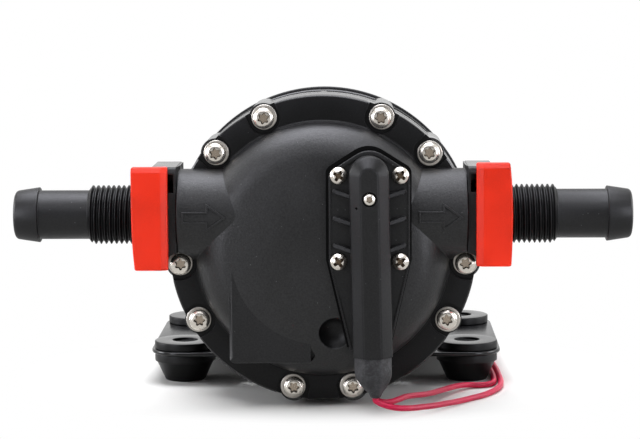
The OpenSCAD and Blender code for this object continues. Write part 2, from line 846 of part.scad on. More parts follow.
module pump_head() {
    dimple_ball = (pow(dimple_r, 2) + pow(dimple_depth, 2)) / (2 * dimple_depth);
    dimple_dist = norm([dimple_x, dimple_y]);
    dimple_surface = crown_cz + sqrt(pow(crown_r, 2) - pow(dimple_dist, 2));
    color("#2b2b2f") pump() difference() {
        union() {
            flange_ring();
            dome(0, pocket_z);
            for (side = both_sides) port_side(side) port_stub();
            for (side = both_sides) flow_arrow(side);
            flat_block();
            translate([switch_x, 0, flange_t]) linear_extrude(seat_z - flange_t) cover_outline(seat_inset);
        }
        head_spaces();
        for (side = both_sides) port_side(side) {
            along_port(socket_floor) cylinder(r = socket_r, h = guide_end);
            clip_slots();
        }
        rod(plate_r + seat_gap, -over, plate_rise);
        tube(seal_r + seal_section_r + seal_side, seal_r - seal_section_r - seal_side, -over,
             2 * seal_section_r);
        round_axis(screw_angles, bolt_r) {
            rod(screw_r + screw_clear, -over, flange_t);
            rod(spotface_r, pocket_z, dome_top);
        }
        translate([dimple_x, dimple_y, dimple_surface + dimple_ball - dimple_depth])
            sphere(r = dimple_ball);
        translate([switch_x, adjuster_y, 0]) {
            rod(pad_r + seat_gap, seat_z - pad_t, seat_z + over);
            rod(pressure_r, seat_z - pad_t - pressure_t, seat_z);
        }
        translate([switch_x, sense_y, 0]) rod(sense_r, port_fwd, seat_z - pad_t);
        switch_screw_places() rod(cover_screw_r, seat_z - cover_screw_len, seat_z + over);
    }
}

module head_screws() {
    color("silver") pump() round_axis(screw_angles, bolt_r)
        translate([0, 0, pocket_z + washer_t])
            pan_screw(screw_r, screw_len, screw_head_r, screw_head_h);
}

module head_washers() {
    color("lightgrey") pump() round_axis(screw_angles, bolt_r)
        tube(washer_r, screw_r + press_gap, pocket_z, pocket_z + washer_t);
}

module head_seal() {
    color("#1c1c1c") pump() translate([0, 0, seal_section_r])
        rotate_extrude() translate([seal_r, 0]) circle(r = seal_section_r);
}

module valve_plate() {
    color("#d8d8d2") pump() difference() {
        rod(plate_r, -plate_drop, plate_rise);
        round_axis(chamber_angles, chamber_pcr) rod(chamber_r, -plate_drop - over, 0);
        round_axis(chamber_angles, inlet_valve_pcr) {
            rod(valve_stem_r + press_gap, -over, plate_rise + over);
            for (a = valve_hole_angles) rotate(a) translate([inlet_valve_r * valve_hole_share, 0, 0])
                rod(valve_hole_r, -over, plate_rise + over);
        }
        rod(outlet_stem_r + press_gap, -plate_drop - over, plate_rise + over);
        rod(outlet_stem_r + outlet_seat, -plate_drop - over, 0);
        for (a = chamber_angles, turn = outlet_hole_turns) rotate(-a - turn)
            translate([0, outlet_hole_pcr, 0]) rod(outlet_hole_r, -over, plate_rise + over);
    }
}

module inlet_valves() {
    color("#33363a") pump() round_axis(chamber_angles, inlet_valve_pcr) {
        rod(inlet_valve_r, -valve_t, 0);
        rod(valve_stem_r, -weld, plate_rise + stem_head_t);
        rod(valve_stem_r + stem_head_out, plate_rise, plate_rise + stem_head_t);
    }
}

module outlet_valve() {
    color("#33363a") pump() {
        rotate_extrude() polygon([[0, plate_rise], [outlet_valve_r, plate_rise],
            [outlet_valve_r, plate_rise + valve_t / 2], [outlet_stem_r * 2, plate_rise + 2 * valve_t],
            [0, plate_rise + 2 * valve_t]]);
        rod(outlet_stem_r, -outlet_head_t, plate_rise + weld);
        rod(outlet_stem_r + outlet_head_out, -outlet_head_t, 0);
    }
}

module diaphragm() {
    color("#2f3a33") pump() difference() {
        rod(plate_r, ledge_z, -plate_drop);
        round_axis(chamber_angles, chamber_pcr) rod(piston_hole_r, ledge_z - over, 0);
    }
}

module pistons() {
    color("#e4e4de") pump() tilted() round_axis(chamber_angles, chamber_pcr) difference() {
        rotate_extrude() polygon([[0, pad_front], [piston_r, pad_front],
            [piston_r, pad_front + piston_len - edge_chamfer],
            [piston_r - edge_chamfer, pad_front + piston_len], [0, pad_front + piston_len]]);
        rod(piston_screw_r + press_gap, 0, pad_front + piston_len + over);
        rod(piston_screw_head_r + seat_gap, pad_front + piston_len - piston_sink,
            pad_front + piston_len + over);
    }
}

module piston_screws() {
    color("silver") pump() tilted() round_axis(chamber_angles, chamber_pcr)
        translate([0, 0, pad_front + piston_len - piston_sink])
            pan_screw(piston_screw_r, piston_len + piston_screw_reach, piston_screw_head_r,
                      piston_screw_head_h);
}

module wobble_plate() {
    half_w = wobble_bearing_w / 2;
    ring_ro = wobble_bearing_r + wobble_ring_wall;
    color("#cfcfc8") pump() tilted() difference() {
        union() {
            rod(ring_ro, -half_w, pad_front);
            round_axis(chamber_angles, chamber_pcr) rod(piston_r, pad_back, pad_front);
            for (a = chamber_angles) rotate(-a) translate([-wobble_arm_w / 2, 0, -half_w / 2])
                cube([wobble_arm_w, chamber_pcr + piston_r / 2, pad_front + half_w / 2]);
        }
        rod(wobble_bearing_r + press_gap, -half_w - over, half_w);
        rod(wobble_bearing_r - race_t, -half_w - over, pad_front + over);
        round_axis(chamber_angles, chamber_pcr) rod(piston_screw_r + press_gap, -half_w, pad_front + over);
    }
}

module wobble_bearing_outer() {
    color("#b8bcc0") pump() tilted() race(wobble_bearing_r, wobble_bearing_r - race_t, wobble_bearing_w);
}

module wobble_bearing_balls() {
    color("#d0d4d8") pump() tilted() balls(hub_r + race_t, wobble_bearing_r - race_t, wobble_balls);
}

module wobble_bearing_inner() {
    color("#b8bcc0") pump() tilted() race(hub_r + race_t, hub_r + press_gap, wobble_bearing_w);
}

module cam_hub() {
    half_w = wobble_bearing_w / 2;
    color("#8f8f94") pump() difference() {
        union() {
            tilted() rod(hub_r, -half_w - hub_shoulder_t, half_w);
            tilted() rod(hub_r + race_t / 2, -half_w - hub_shoulder_t, -half_w);
            rod(hub_collar_r, bearing_z + hub_step, wobble_z - half_w - hub_shoulder_t / 2);
            rod(shaft_r + shaft_race_t - seat_gap, bearing_z, bearing_z + 2 * hub_step);
        }
        rod(shaft_r + press_gap, bearing_z - over, 0);
        cam_screw_place() rod(set_screw_r + press_gap, 0, hub_collar_r + over);
    }
}

module cam_screw_place() {
    translate([0, 0, (bearing_z + wobble_z - wobble_bearing_w / 2) / 2]) rotate([-90, 0, 0]) children();
}

module cam_set_screw() {
    color("#5a5a5e") pump() cam_screw_place() difference() {
        rod(set_screw_r, shaft_r, hub_collar_r - set_screw_in);
        translate([0, 0, hub_collar_r - set_screw_in - set_screw_hex_t])
            cylinder(r = set_screw_hex_r, h = set_screw_hex_t + over, $fn = 6);
    }
}

module drive_housing() {
    color("#2e2e32") pump() difference() {
        union() {
            difference() {
                rod(flange_r, housing_z, 0);
                tube(flange_r + over, flange_r - rib_depth, housing_z + groove_low, -groove_high);
            }
            for (n = [0 : housing_ribs - 1]) rotate(n * 360 / housing_ribs)
                translate([-rib_t / 2, flange_r - 2 * rib_depth, housing_z + groove_low - over])
                    cube([rib_t, 2 * rib_depth - seat_gap,
                          housing_len - groove_low - groove_high + 2 * over]);
            round_axis(screw_angles, bolt_r) rod(boss_r, housing_z + boss_short, 0);
        }
        rod(plate_r + seat_gap, ledge_z, over);
        rod(housing_ri, housing_z - over, over);
        round_axis(screw_angles, bolt_r)
            rod(screw_r + press_gap, washer_t + pocket_z - screw_len - over, over);
        round_axis(adaptor_screw_angles, adaptor_screw_pcr)
            rod(adaptor_screw_r + press_gap, housing_z - over, housing_z + adaptor_screw_depth);
    }
}

module motor_adaptor() {
    lip_r = flange_r + adaptor_lip;
    flange_z = housing_z - adaptor_flange_t;
    cavity_r = housing_ri - adaptor_step;
    neck_r = can_r - neck_in;
    web = adaptor_web;
    color("#2b2b2f") pump() difference() {
        union() {
            rotate_extrude() polygon([[0, can_z], [neck_r, can_z], [neck_r, can_z + neck_len],
                [cavity_r + web + web_out, flange_z], [lip_r, flange_z], [lip_r, housing_z], [0, housing_z]]);
            for (a = adaptor_screw_angles) rotate(-a) translate([-web / 2, neck_r - web, can_z + over])
                cube([web, cavity_r + 2 * web - neck_r + web_out, adaptor_len - 2 * over]);
        }
        rod(cavity_r, adaptor_wall_z, over);
        rod(shaft_bearing_r + press_gap, can_z - over, bearing_z);
        rod(shaft_r + shaft_race_t + bearing_lip, can_z - over, over);
        round_axis(adaptor_screw_angles, adaptor_screw_pcr) {
            rod(adaptor_screw_r + screw_clear, flange_z - over, housing_z + over);
            rod(motor_screw_head_r, can_z - over, flange_z);
        }
        round_axis(motor_screw_angles, motor_screw_pcr)
            rod(motor_screw_r + screw_clear, can_z - over, over);
    }
}

module adaptor_screws() {
    color("silver") pump() round_axis(adaptor_screw_angles, adaptor_screw_pcr)
        translate([0, 0, housing_z - adaptor_flange_t]) mirror([0, 0, 1])
            pan_screw(adaptor_screw_r, adaptor_screw_len, motor_screw_head_r - slide_gap,
                      motor_screw_head_h);
}

module motor_screws() {
    color("silver") pump() round_axis(motor_screw_angles, motor_screw_pcr)
        translate([0, 0, adaptor_wall_z])
            pan_screw(motor_screw_r, adaptor_wall + can_front_t - motor_screw_short,
                      motor_screw_head_r, motor_screw_head_h);
}

module at_shaft_bearing() { translate([0, 0, bearing_z - shaft_bearing_w / 2]) children(); }

module shaft_bearing_outer() {
    color("#b8bcc0") pump() at_shaft_bearing()
        race(shaft_bearing_r, shaft_bearing_r - shaft_race_t, shaft_bearing_w);
}

module shaft_bearing_balls() {
    color("#d0d4d8") pump() at_shaft_bearing()
        balls(shaft_r + shaft_race_t, shaft_bearing_r - shaft_race_t, shaft_balls);
}

module shaft_bearing_inner() {
    color("#b8bcc0") pump() at_shaft_bearing()
        race(shaft_r + shaft_race_t, shaft_r + press_gap, shaft_bearing_w);
}

module cradle_screw_places() {
    for (side = both_sides, y = rib_places) translate([side * cradle_screw_x, y, 0]) children();
}

module motor_can() {
    color("#26262a") difference() {
        pump() {
            difference() {
                rod(can_r, cap_z, can_z);
                rod(can_ri, cap_z - over, can_z - can_front_t);
                rod(shaft_bearing_r - can_hole_in, can_z - can_front_t - over, can_z + over);
                round_axis(motor_screw_angles, motor_screw_pcr)
                    rod(motor_screw_r + press_gap, can_z - can_front_t - over, can_z + over);
                round_axis(through_bolt_angles, through_bolt_pcr)
                    rod(through_bolt_r + press_gap, can_z - can_front_t - over, can_z + over);
            }
        }
        cradle_screw_places() rod(cradle_screw_r + press_gap, 0, axis_h - magnet_ri);
    }
}

module magnets() {
    half = magnet_span / 2;
    far = 2 * can_r;
    color("#3a3a40") pump() translate([0, 0, core_back - magnet_over]) for (up = [0, 1])
        mirror([0, up, 0]) intersection() {
            tube(can_ri - seat_gap, magnet_ri, 0, magnet_len);
            linear_extrude(magnet_len) polygon([[0, 0], [far * sin(half), far * cos(half)],
                [far, 2 * far], [-far, 2 * far], [-far * sin(half), far * cos(half)]]);
        }
}

module motor_shaft() {
    color("#c4c8cc") pump() rod(shaft_r, bush_z, shaft_tip);
}

module core_slots(w, depth, low, high) {
    for (n = [0 : slot_count - 1]) rotate(n * 360 / slot_count + 180 / slot_count)
        translate([-w / 2, core_r - depth, low]) cube([w, depth + over, high - low]);
}

module armature_core() {
    color("#77797d") pump() difference() {
        rod(core_r, core_back, core_front);
        rod(shaft_r + press_gap, core_back - over, core_front + over);
        core_slots(slot_w, slot_depth, core_back - over, core_front + over);
    }
}

module armature_windings() {
    turn_ro = core_r - turn_in;
    turn_ri = core_r - slot_depth - turn_depth;
    color("#b5652b") pump() difference() {
        union() {
            tube(turn_ro, turn_ri, core_front + seat_gap, core_front + end_turn_len);
            tube(turn_ro, turn_ri, core_back - end_turn_len, core_back - seat_gap);
            intersection() {
                core_slots(slot_w - 2 * slot_liner, slot_depth - slot_liner, core_back - over,
                           core_front + over);
                rod(turn_ro, core_back - over, core_front + over);
            }
        }
        rod(shaft_r + over, core_back - end_turn_len - over, core_front + end_turn_len + over);
    }
}

module commutator() {
    color("#b87333") pump() difference() {
        union() {
            rod(commutator_r, commutator_z - commutator_len, commutator_z);
            rod(commutator_r + riser_out, commutator_z - riser_t, commutator_z);
        }
        rod(shaft_r + press_gap, commutator_z - commutator_len - over, commutator_z + over);
        for (n = [0 : slot_count - 1]) rotate(n * 360 / slot_count)
            translate([-segment_gap / 2, commutator_r - segment_depth,
                       commutator_z - commutator_len - over])
                cube([segment_gap, segment_depth + riser_out + over, commutator_len + 2 * over]);
    }
}

module brush_sides() { for (turn = [0, 180]) rotate(turn) children(); }

module brushes() {
    color("#3d3d40") pump() brush_sides()
        translate([-brush_w / 2, commutator_r + run_gap, brush_mid_z - brush_t / 2])
            cube([brush_w, brush_len, brush_t]);
}

module brush_springs() {
    color("#c9a23a") pump() brush_sides()
        translate([0, commutator_r + run_gap + brush_len, brush_mid_z]) rotate([-90, 0, 0])
            coil_spring(brush_spring_r, brush_spring_len, brush_spring_turns, brush_spring_wire_r);
}

module brush_holder() {
    wall = brush_box_wall;
    box_from = commutator_r + holder_gap;
    box_low = brush_plate_z + brush_plate_t / 2;
    box_end = commutator_r + run_gap + brush_len + brush_spring_len;
    color("#5b4630") pump() {
        difference() {
            tube(can_ri - holder_play, box_from, brush_plate_z, brush_plate_z + brush_plate_t);
            round_axis(through_bolt_angles, through_bolt_pcr)
                rod(through_bolt_r + screw_clear, cap_end_z, cap_z);
        }
        brush_sides() difference() {
            translate([-brush_w / 2 - wall - seat_gap, box_from, box_low])
                cube([brush_w + 2 * wall + 2 * seat_gap, box_end + wall - box_from,
                      brush_mid_z + brush_t / 2 + wall - box_low]);
            translate([-brush_w / 2 - seat_gap, box_from - over, brush_mid_z - brush_t / 2 - seat_gap])
                cube([brush_w + 2 * seat_gap, box_end + over - box_from, brush_t + 2 * seat_gap]);
        }
    }
}

module motor_end_cap() {
    rim = brush_plate_z - seat_gap;
    inner_z = cap_end_z + cap_wall;
    color("#2b2b2f") pump() difference() {
        rotate_extrude() polygon(concat([[0, cap_z], [can_r, cap_z]],
            [for (a = [0 : arc_step : 90])
                [can_r - cap_round + cap_round * cos(a), cap_end_z + cap_round - cap_round * sin(a)]],
            [[0, cap_end_z]]));
        rod(can_ri, rim, cap_z + over);
        rod(can_ri - cap_wall, inner_z, cap_z + over);
        rod(bush_r + press_gap, bush_z, cap_z + over);
        round_axis(through_bolt_angles, through_bolt_pcr) {
            rod(through_bolt_r + screw_clear, cap_end_z - over, cap_z + over);
            rod(bolt_sink_r, cap_end_z - over, cap_end_z + bolt_sink_t);
        }
        round_axis([grommet_angle], grommet_pcr) rod(grommet_neck_r, cap_end_z - over, cap_z);
    }
    color("#2b2b2f") pump()
        tube(bush_r + bush_wall, bush_r + press_gap, inner_z - bush_root, bush_z + bush_len);
}

module rear_bush() {
    color("#b08d57") pump() tube(bush_r, shaft_r + run_gap, bush_z, bush_z + bush_len);
}

module through_bolts() {
    seat = cap_end_z + bolt_sink_t;
    color("silver") pump() round_axis(through_bolt_angles, through_bolt_pcr)
        translate([0, 0, seat]) mirror([0, 0, 1])
            pan_screw(through_bolt_r, can_z - seat - through_bolt_short, through_bolt_head_r,
                      through_bolt_head_h);
}

module lead_grommet() {
    color("#1c1c1c") pump() round_axis([grommet_angle], grommet_pcr) difference() {
        union() {
            rod(grommet_r, cap_end_z - grommet_flange_t, cap_end_z);
            rod(grommet_neck_r - seat_gap / 2, cap_end_z - weld, cap_end_z + cap_wall + weld);
            rod(grommet_r, cap_end_z + cap_wall, cap_end_z + cap_wall + grommet_flange_t);
        }
        rod(wire_r, cap_end_z - grommet_flange_t - over, cap_end_z + cap_wall + grommet_flange_t + over);
    }
}

module foot_places() {
    for (x = both_sides, y = both_sides) translate([x * foot_x, y * foot_y, 0]) children();
}

// Clears the flange and screws of the motor adaptor, which hang in front of the plate
module base_notch() {
    half = sqrt(pow(flange_r + adaptor_lip, 2) - pow(axis_h - base_top, 2)) + notch_gap;
    back = -joint_front - housing_z + adaptor_flange_t + motor_screw_head_h + notch_gap;
    front = -foot_y - base_corner_r - over;
    polygon([[-half - notch_gap, front], [half + notch_gap, front], [half, back - notch_gap],
             [half - notch_gap, back], [notch_gap - half, back], [-half, back - notch_gap]]);
}

module base_plate() {
    color("#303034") difference() {
        translate([0, 0, base_z]) linear_extrude(base_t)
            hull() foot_places() circle(r = base_corner_r, $fn = 48);
        linear_extrude(foot_h) base_notch();
        foot_places() rod(foot_neck_r + seat_gap, 0, foot_h);
        cradle_screw_places() rod(cradle_screw_r + screw_clear, 0, foot_h);
    }
}

module motor_cradle() {
    rib_h = axis_h - can_r - base_top + cradle_wrap;
    color("#2b2b2f") difference() {
        union() {
            translate([-cradle_half, rib_front_y - rib_w / 2, base_top])
                cube([2 * cradle_half, rib_rear_y - rib_front_y + rib_w, cradle_pad_t]);
            for (y = rib_places) translate([0, y + rib_w / 2, base_top]) rotate([90, 0, 0])
                linear_extrude(rib_w)
                    polygon([[-cradle_half, 0], [cradle_half, 0], [cradle_half - cradle_lean, rib_h],
                             [cradle_lean - cradle_half, rib_h]]);
        }
        pump() rod(can_r + press_gap, cap_z - over, can_z + over);
        cradle_screw_places() rod(cradle_screw_r + screw_clear, 0, axis_h);
    }
}

module cradle_screws() {
    tip = axis_h - sqrt(pow(can_ri + cradle_screw_short, 2) - pow(cradle_screw_x, 2));
    color("silver") cradle_screw_places() translate([0, 0, base_z]) mirror([0, 0, 1])
        pan_screw(cradle_screw_r, tip - base_z, cradle_screw_head_r, cradle_screw_head_h);
}

module foot() {
    color("#19191b") rotate_extrude()
        polygon([[foot_hole_r, 0], [foot_base_r - foot_edge, 0], [foot_base_r, foot_edge],
                 [foot_r - foot_edge, base_z - foot_band_t], [foot_r, base_z - foot_band_t + foot_edge],
                 [foot_r, base_z - foot_edge], [foot_r - foot_edge, base_z], [foot_neck_r, base_z],
                 [foot_neck_r, base_top], [foot_r - foot_edge, base_top], [foot_r, base_top + foot_edge],
                 [foot_r, foot_h - foot_top_edge], [foot_r - foot_top_edge, foot_h],
                 [foot_recess_r, foot_h], [foot_recess_r, foot_h - foot_recess_t],
                 [foot_hole_r, foot_h - foot_recess_t]]);
}

module foot_front_left() { translate([-foot_x, -foot_y, 0]) foot(); }
module foot_front_right() { translate([foot_x, -foot_y, 0]) foot(); }
module foot_rear_left() { translate([-foot_x, foot_y, 0]) foot(); }
module foot_rear_right() { translate([foot_x, foot_y, 0]) foot(); }

// Fitting drawn for the right-hand port: spigot, collar, thread, tube and hose barb
module fitting(side) {
    spigot_r = socket_r - seat_gap;
    clip_groove = leg_w / 2 + slide_gap;
    color("#232326") pump() port_side(side) along_port(0) rotate_extrude()
        polygon([[fitting_bore, spigot_in], [spigot_r - spigot_edge, spigot_in],
                 [spigot_r, spigot_in + spigot_edge],
                 [spigot_r, ring_groove_x], [groove_r, ring_groove_x],
                 [groove_r, ring_groove_x + ring_groove_w], [spigot_r, ring_groove_x + ring_groove_w],
                 [spigot_r, leg_mid - clip_groove], [groove_r, leg_mid - clip_groove],
                 [groove_r, leg_mid + clip_groove], [spigot_r, leg_mid + clip_groove],
                 [spigot_r, guide_end + slide_gap], [collar_r, guide_end + slide_gap],
                 [collar_r, collar_end], [thread_r, collar_end], [thread_r, thread_end - thread_edge],
                 [thread_r - thread_edge, thread_end], [tube_r, thread_end], [tube_r, tube_end],
                 [barb_r - barb_edge, tube_end], [barb_r, tube_end + barb_edge],
                 [barb_tip_r, fitting_end - barb_tip_round], [barb_tip_r - barb_tip_round, fitting_end],
                 [fitting_bore, fitting_end]]);
}

module inlet_fitting() { fitting(-1); }
module outlet_fitting() { fitting(1); }

module seal_ring(side) {
    mid_r = (socket_r + groove_r) / 2;
    color("#151515") pump() port_side(side) along_port(ring_groove_x + ring_groove_w / 2)
        rotate_extrude() translate([mid_r, 0]) circle(r = ring_r);
}

module inlet_seal_ring() { seal_ring(-1); }
module outlet_seal_ring() { seal_ring(1); }

// U-shaped clip drawn for the right-hand port: a bevelled front bridge and two legs
module slide_clip(side) {
    high = clip_h;
    out = clip_in + clip_w;
    b = clip_bevel;
    color("#ee3828") pump() port_side(side) translate([0, port_up, 0]) {
        intersection() {
            translate([0, 0, clip_back]) linear_extrude(clip_t)
                polygon([[clip_in, -high], [out - clip_taper, -high], [out, high], [clip_in, high]]);
            rotate([0, 90, 0]) linear_extrude(2 * out)
                polygon([[-clip_back, -high], [-clip_back, high], [b - clip_front, high],
                         [-clip_front, high - b], [-clip_front, clip_edge - high],
                         [clip_edge - clip_front, -high]]);
            rotate([90, 0, 0]) translate([0, 0, -2 * high]) linear_extrude(4 * high)
                polygon([[clip_in, clip_back], [out, clip_back], [out, clip_front - clip_edge],
                         [out - clip_edge, clip_front], [clip_in + 2 * b, clip_front],
                         [clip_in, clip_front - b]]);
        }
        for (up = [0, 1]) mirror([0, up, 0])
            translate([leg_mid - leg_w / 2, leg_in_y, leg_tip]) cube([leg_w, leg_t, leg_len + leg_root]);
    }
}

module inlet_clip() { slide_clip(-1); }
module outlet_clip() { slide_clip(1); }

// Ridge drawn from half of its section: round at the head, straight down to the foot
module ridge() {
    low = cover_z - sunk;
    section = [[0, low], [ridge_half, low], [ridge_half, ridge_top - ridge_chamfer],
               [ridge_flat, ridge_top], [0, ridge_top]];
    translate([0, ridge_head_y, 0]) rotate_extrude() polygon(section);
    translate([0, ridge_head_y, 0]) rotate([90, 0, 0]) linear_extrude(ridge_head_y - ridge_foot_y)
        polygon(concat(section, [for (i = [len(section) - 1 : -1 : 0]) [-section[i][0], section[i][1]]]));
}

module gussets() {
    reach = cover_half - ridge_half - gusset_end;
    for (y = gusset_y, flip = [0, 1]) mirror([flip, 0, 0])
        translate([ridge_half, y, cover_z - sunk]) rotate(gusset_lean) translate([0, gusset_t / 2, 0])
            rotate([90, 0, 0]) linear_extrude(gusset_t)
                polygon([[-gusset_t, 0], [reach, 0], [reach, gusset_tip], [0, gusset_h],
                         [-gusset_t, gusset_h]]);
}

module switch_cover() {
    roof = ridge_top - ridge_roof;
    room_low = ridge_foot_y + ridge_foot_wall;
    room_len = adjuster_y + plunger_foot_r + plunger_room - room_low;
    color("#28282c") pump() translate([switch_x, 0, 0]) difference() {
        union() {
            translate([0, 0, seat_z]) linear_extrude(cover_t) cover_outline(0);
            leaned() ridge();
            gussets();
        }
        leaned() {
            translate([ridge_wall - ridge_half, room_low, seat_z - over])
                cube([2 * (ridge_half - ridge_wall), room_len,
                      roof - ridge_chamfer + micro_room - seat_z + over]);
            translate([-ridge_flat, room_low, seat_z]) cube([2 * ridge_flat, room_len, roof - seat_z]);
        }
        translate([0, adjuster_y, 0]) {
            rod(adjuster_r + run_gap, roof - over, ridge_top + over);
            rod(adjuster_recess_r, ridge_top - adjuster_sink, ridge_top + over);
        }
        translate([-switch_x, 0, 0]) switch_screw_places()
            rod(cover_screw_r + screw_clear, seat_z - over, cover_z + over);
        leaned() translate([0, ridge_foot_y + 2 * ridge_wall, (cover_z + ridge_top) / 2]) rotate([90, 0, 0]) {
            for (side = both_sides) translate([side * wire_pitch / 2, 0, 0])
                cylinder(r = wire_r + seat_gap, h = 3 * ridge_wall);
            translate([-wire_pitch / 2, -wire_r - seat_gap, 0])
                cube([wire_pitch, 2 * (wire_r + seat_gap), 3 * ridge_wall]);
        }
    }
}

module switch_screws() {
    color("silver") pump() switch_screw_places() translate([0, 0, cover_z])
        pan_screw(cover_screw_r - press_gap, cover_screw_len + cover_t - cover_screw_short,
                  cover_screw_head_r, cover_screw_head_h);
}

module switch_diaphragm() {
    color("#2f2f33") pump() translate([switch_x, adjuster_y, 0]) rod(pad_r, seat_z - pad_t, seat_z);
}

module switch_plunger() {
    foot_z = seat_z + seat_gap;
    color("#e4e4de") pump() translate([switch_x, adjuster_y, foot_z]) {
        rod(plunger_foot_r, 0, plunger_foot_t);
        rod(plunger_stem_r, 0, plunger_foot_t + plunger_stem_len);
        rotate(ridge_lean) translate([-plunger_arm_w / 2, -plunger_arm_len - button_r, 0])
            cube([plunger_arm_w, plunger_arm_len, plunger_foot_t]);
    }
}

module switch_spring() {
    low = seat_z + seat_gap + plunger_foot_t;
    high = ridge_top - ridge_roof - slide_gap - plunger_travel;
    color("#c9ccd0") pump() translate([switch_x, adjuster_y, low])
        coil_spring(spring_r, high - low, spring_turns, spring_wire_r);
}

// The microswitch hangs under the roof of the ridge, its button towards the plunger arm
module microswitch() {
    half = ridge_half - ridge_wall - seat_gap;
    color("#1f1f22") pump() translate([switch_x, 0, 0]) leaned() difference() {
        translate([-half, button_y + micro_below - micro_len, micro_low])
            cube([2 * half, micro_len, micro_high - micro_low]);
        translate([0, button_y, 0])
            rod(button_r + run_gap, micro_low - over, micro_low + button_in + plunger_travel + button_play);
    }
}

module microswitch_button() {
    color("#c23b2e") pump() translate([switch_x, 0, 0]) leaned() translate([0, button_y, micro_low])
        rod(button_r, -button_out, button_in - button_play);
}

module adjusting_screw() {
    low = ridge_top - ridge_roof - slide_gap;
    high = ridge_top - adjuster_sink + slide_gap;
    color("silver") pump() translate([switch_x, adjuster_y, 0]) difference() {
        rod(adjuster_r, low, high);
        translate([0, 0, high - adjuster_hex_t])
            cylinder(r = adjuster_hex_r, h = adjuster_hex_t + over, $fn = 6);
    }
}

// Soft boot: a slab of the ridge's section, a narrower waist and an oval neck for two wires
module boot_slice(share, size) {
    half = ridge_half - boot_step;
    high = ridge_h / 2 - boot_step;
    knee = ridge_h / 2 - ridge_chamfer;
    translate([switch_x, 0, 0]) leaned()
        translate([0, ridge_foot_y - share * boot_len - boot_slab, (cover_z + ridge_top) / 2])
            rotate([-90, 0, 0]) linear_extrude(boot_slab) mirror([0, 1, 0]) scale(size)
                polygon([[-half, -high], [half, -high], [half, knee], [ridge_flat, high],
                         [-ridge_flat, high], [-half, knee]]);
}

module boot_neck(share, len) {
    hull() for (side = both_sides)
        translate([boot_tip_x, ridge_foot_y - share * boot_len,
                   (cover_z + ridge_top + side * wire_pitch) / 2])
            rotate([90, 0, 0]) cylinder(r = boot_tip_r, h = len, $fn = 32);
}

module switch_boot() {
    color("#3a3a3e") pump() {
        hull() {
            boot_slice(0, 1);
            boot_slice(boot_waist_at, boot_waist);
        }
        hull() {
            boot_slice(boot_waist_at, boot_waist);
            boot_neck(boot_neck_at, boot_slab);
        }
        boot_neck(boot_neck_at, boot_len * (1 - boot_neck_at));
    }
}

module supply_wire() {
    color(wire_colour)
        swept(concat([boot_exit + [0, wire_pitch / 2, 0]], supply_route), wire_r, wire_sides, wire_ref);
}

module motor_wire() {
    grommet_exit = [grommet_pcr * sin(grommet_angle), grommet_flange_t - joint_front - cap_end_z,
                    axis_h + grommet_pcr * cos(grommet_angle)];
    color(wire_colour)
        swept(concat([boot_exit - [0, wire_pitch / 2, 0]], motor_route, [grommet_exit]),
              wire_r, wire_sides, wire_ref);
}

pump_head();
head_screws();
head_washers();
head_seal();
valve_plate();
inlet_valves();
outlet_valve();
diaphragm();
pistons();
piston_screws();
wobble_plate();
wobble_bearing_outer();
wobble_bearing_balls();
wobble_bearing_inner();
cam_hub();
cam_set_screw();
drive_housing();
motor_adaptor();
adaptor_screws();
motor_screws();
shaft_bearing_outer();
shaft_bearing_balls();
shaft_bearing_inner();
motor_can();
magnets();
motor_shaft();
armature_core();
armature_windings();
commutator();
brushes();
brush_springs();
brush_holder();
motor_end_cap();
rear_bush();
through_bolts();
lead_grommet();
base_plate();
motor_cradle();
cradle_screws();
foot_front_left();
foot_front_right();
foot_rear_left();
foot_rear_right();
inlet_fitting();
outlet_fitting();
inlet_clip();
outlet_clip();
inlet_seal_ring();
outlet_seal_ring();
switch_cover();
switch_screws();
switch_diaphragm();
switch_plunger();
switch_spring();
microswitch();
microswitch_button();
adjusting_screw();
switch_boot();
supply_wire();
motor_wire();
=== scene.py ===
import json
import math
import random

import bpy
from mathutils import Matrix, Vector

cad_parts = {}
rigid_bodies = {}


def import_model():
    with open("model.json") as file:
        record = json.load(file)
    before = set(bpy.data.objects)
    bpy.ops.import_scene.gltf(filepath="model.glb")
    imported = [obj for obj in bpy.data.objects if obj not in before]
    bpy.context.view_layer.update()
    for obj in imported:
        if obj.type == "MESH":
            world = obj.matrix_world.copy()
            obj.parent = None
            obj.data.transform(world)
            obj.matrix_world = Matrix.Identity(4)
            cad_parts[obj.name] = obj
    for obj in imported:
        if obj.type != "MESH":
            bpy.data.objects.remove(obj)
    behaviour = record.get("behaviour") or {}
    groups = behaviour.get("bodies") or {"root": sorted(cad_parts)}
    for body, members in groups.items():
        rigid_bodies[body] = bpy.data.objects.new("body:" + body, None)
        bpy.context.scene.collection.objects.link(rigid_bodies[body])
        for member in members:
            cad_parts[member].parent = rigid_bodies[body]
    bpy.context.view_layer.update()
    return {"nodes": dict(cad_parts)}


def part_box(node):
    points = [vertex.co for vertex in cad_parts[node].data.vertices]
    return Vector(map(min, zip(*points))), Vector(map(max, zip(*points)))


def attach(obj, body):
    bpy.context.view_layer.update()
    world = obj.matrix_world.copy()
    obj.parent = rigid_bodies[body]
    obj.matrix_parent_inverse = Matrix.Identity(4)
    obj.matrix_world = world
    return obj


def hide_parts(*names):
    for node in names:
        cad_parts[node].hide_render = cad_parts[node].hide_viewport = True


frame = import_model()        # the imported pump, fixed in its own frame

cadNodes = frame["nodes"]
for leftover in [o for o in bpy.data.objects if o.name in ("Cube", "Light", "Camera")]:
    bpy.data.objects.remove(leftover)
random.seed(7)


def mm(*values):
    return tuple(v / 1000 for v in values)


def linear(hexText):  # sRGB hex to the linear colour that the sockets take
    parts = [int(hexText[i:i + 2], 16) / 255 for i in (1, 3, 5)]
    return [c / 12.92 if c <= 0.04045 else ((c + 0.055) / 1.055) ** 2.4 for c in parts] + [1]


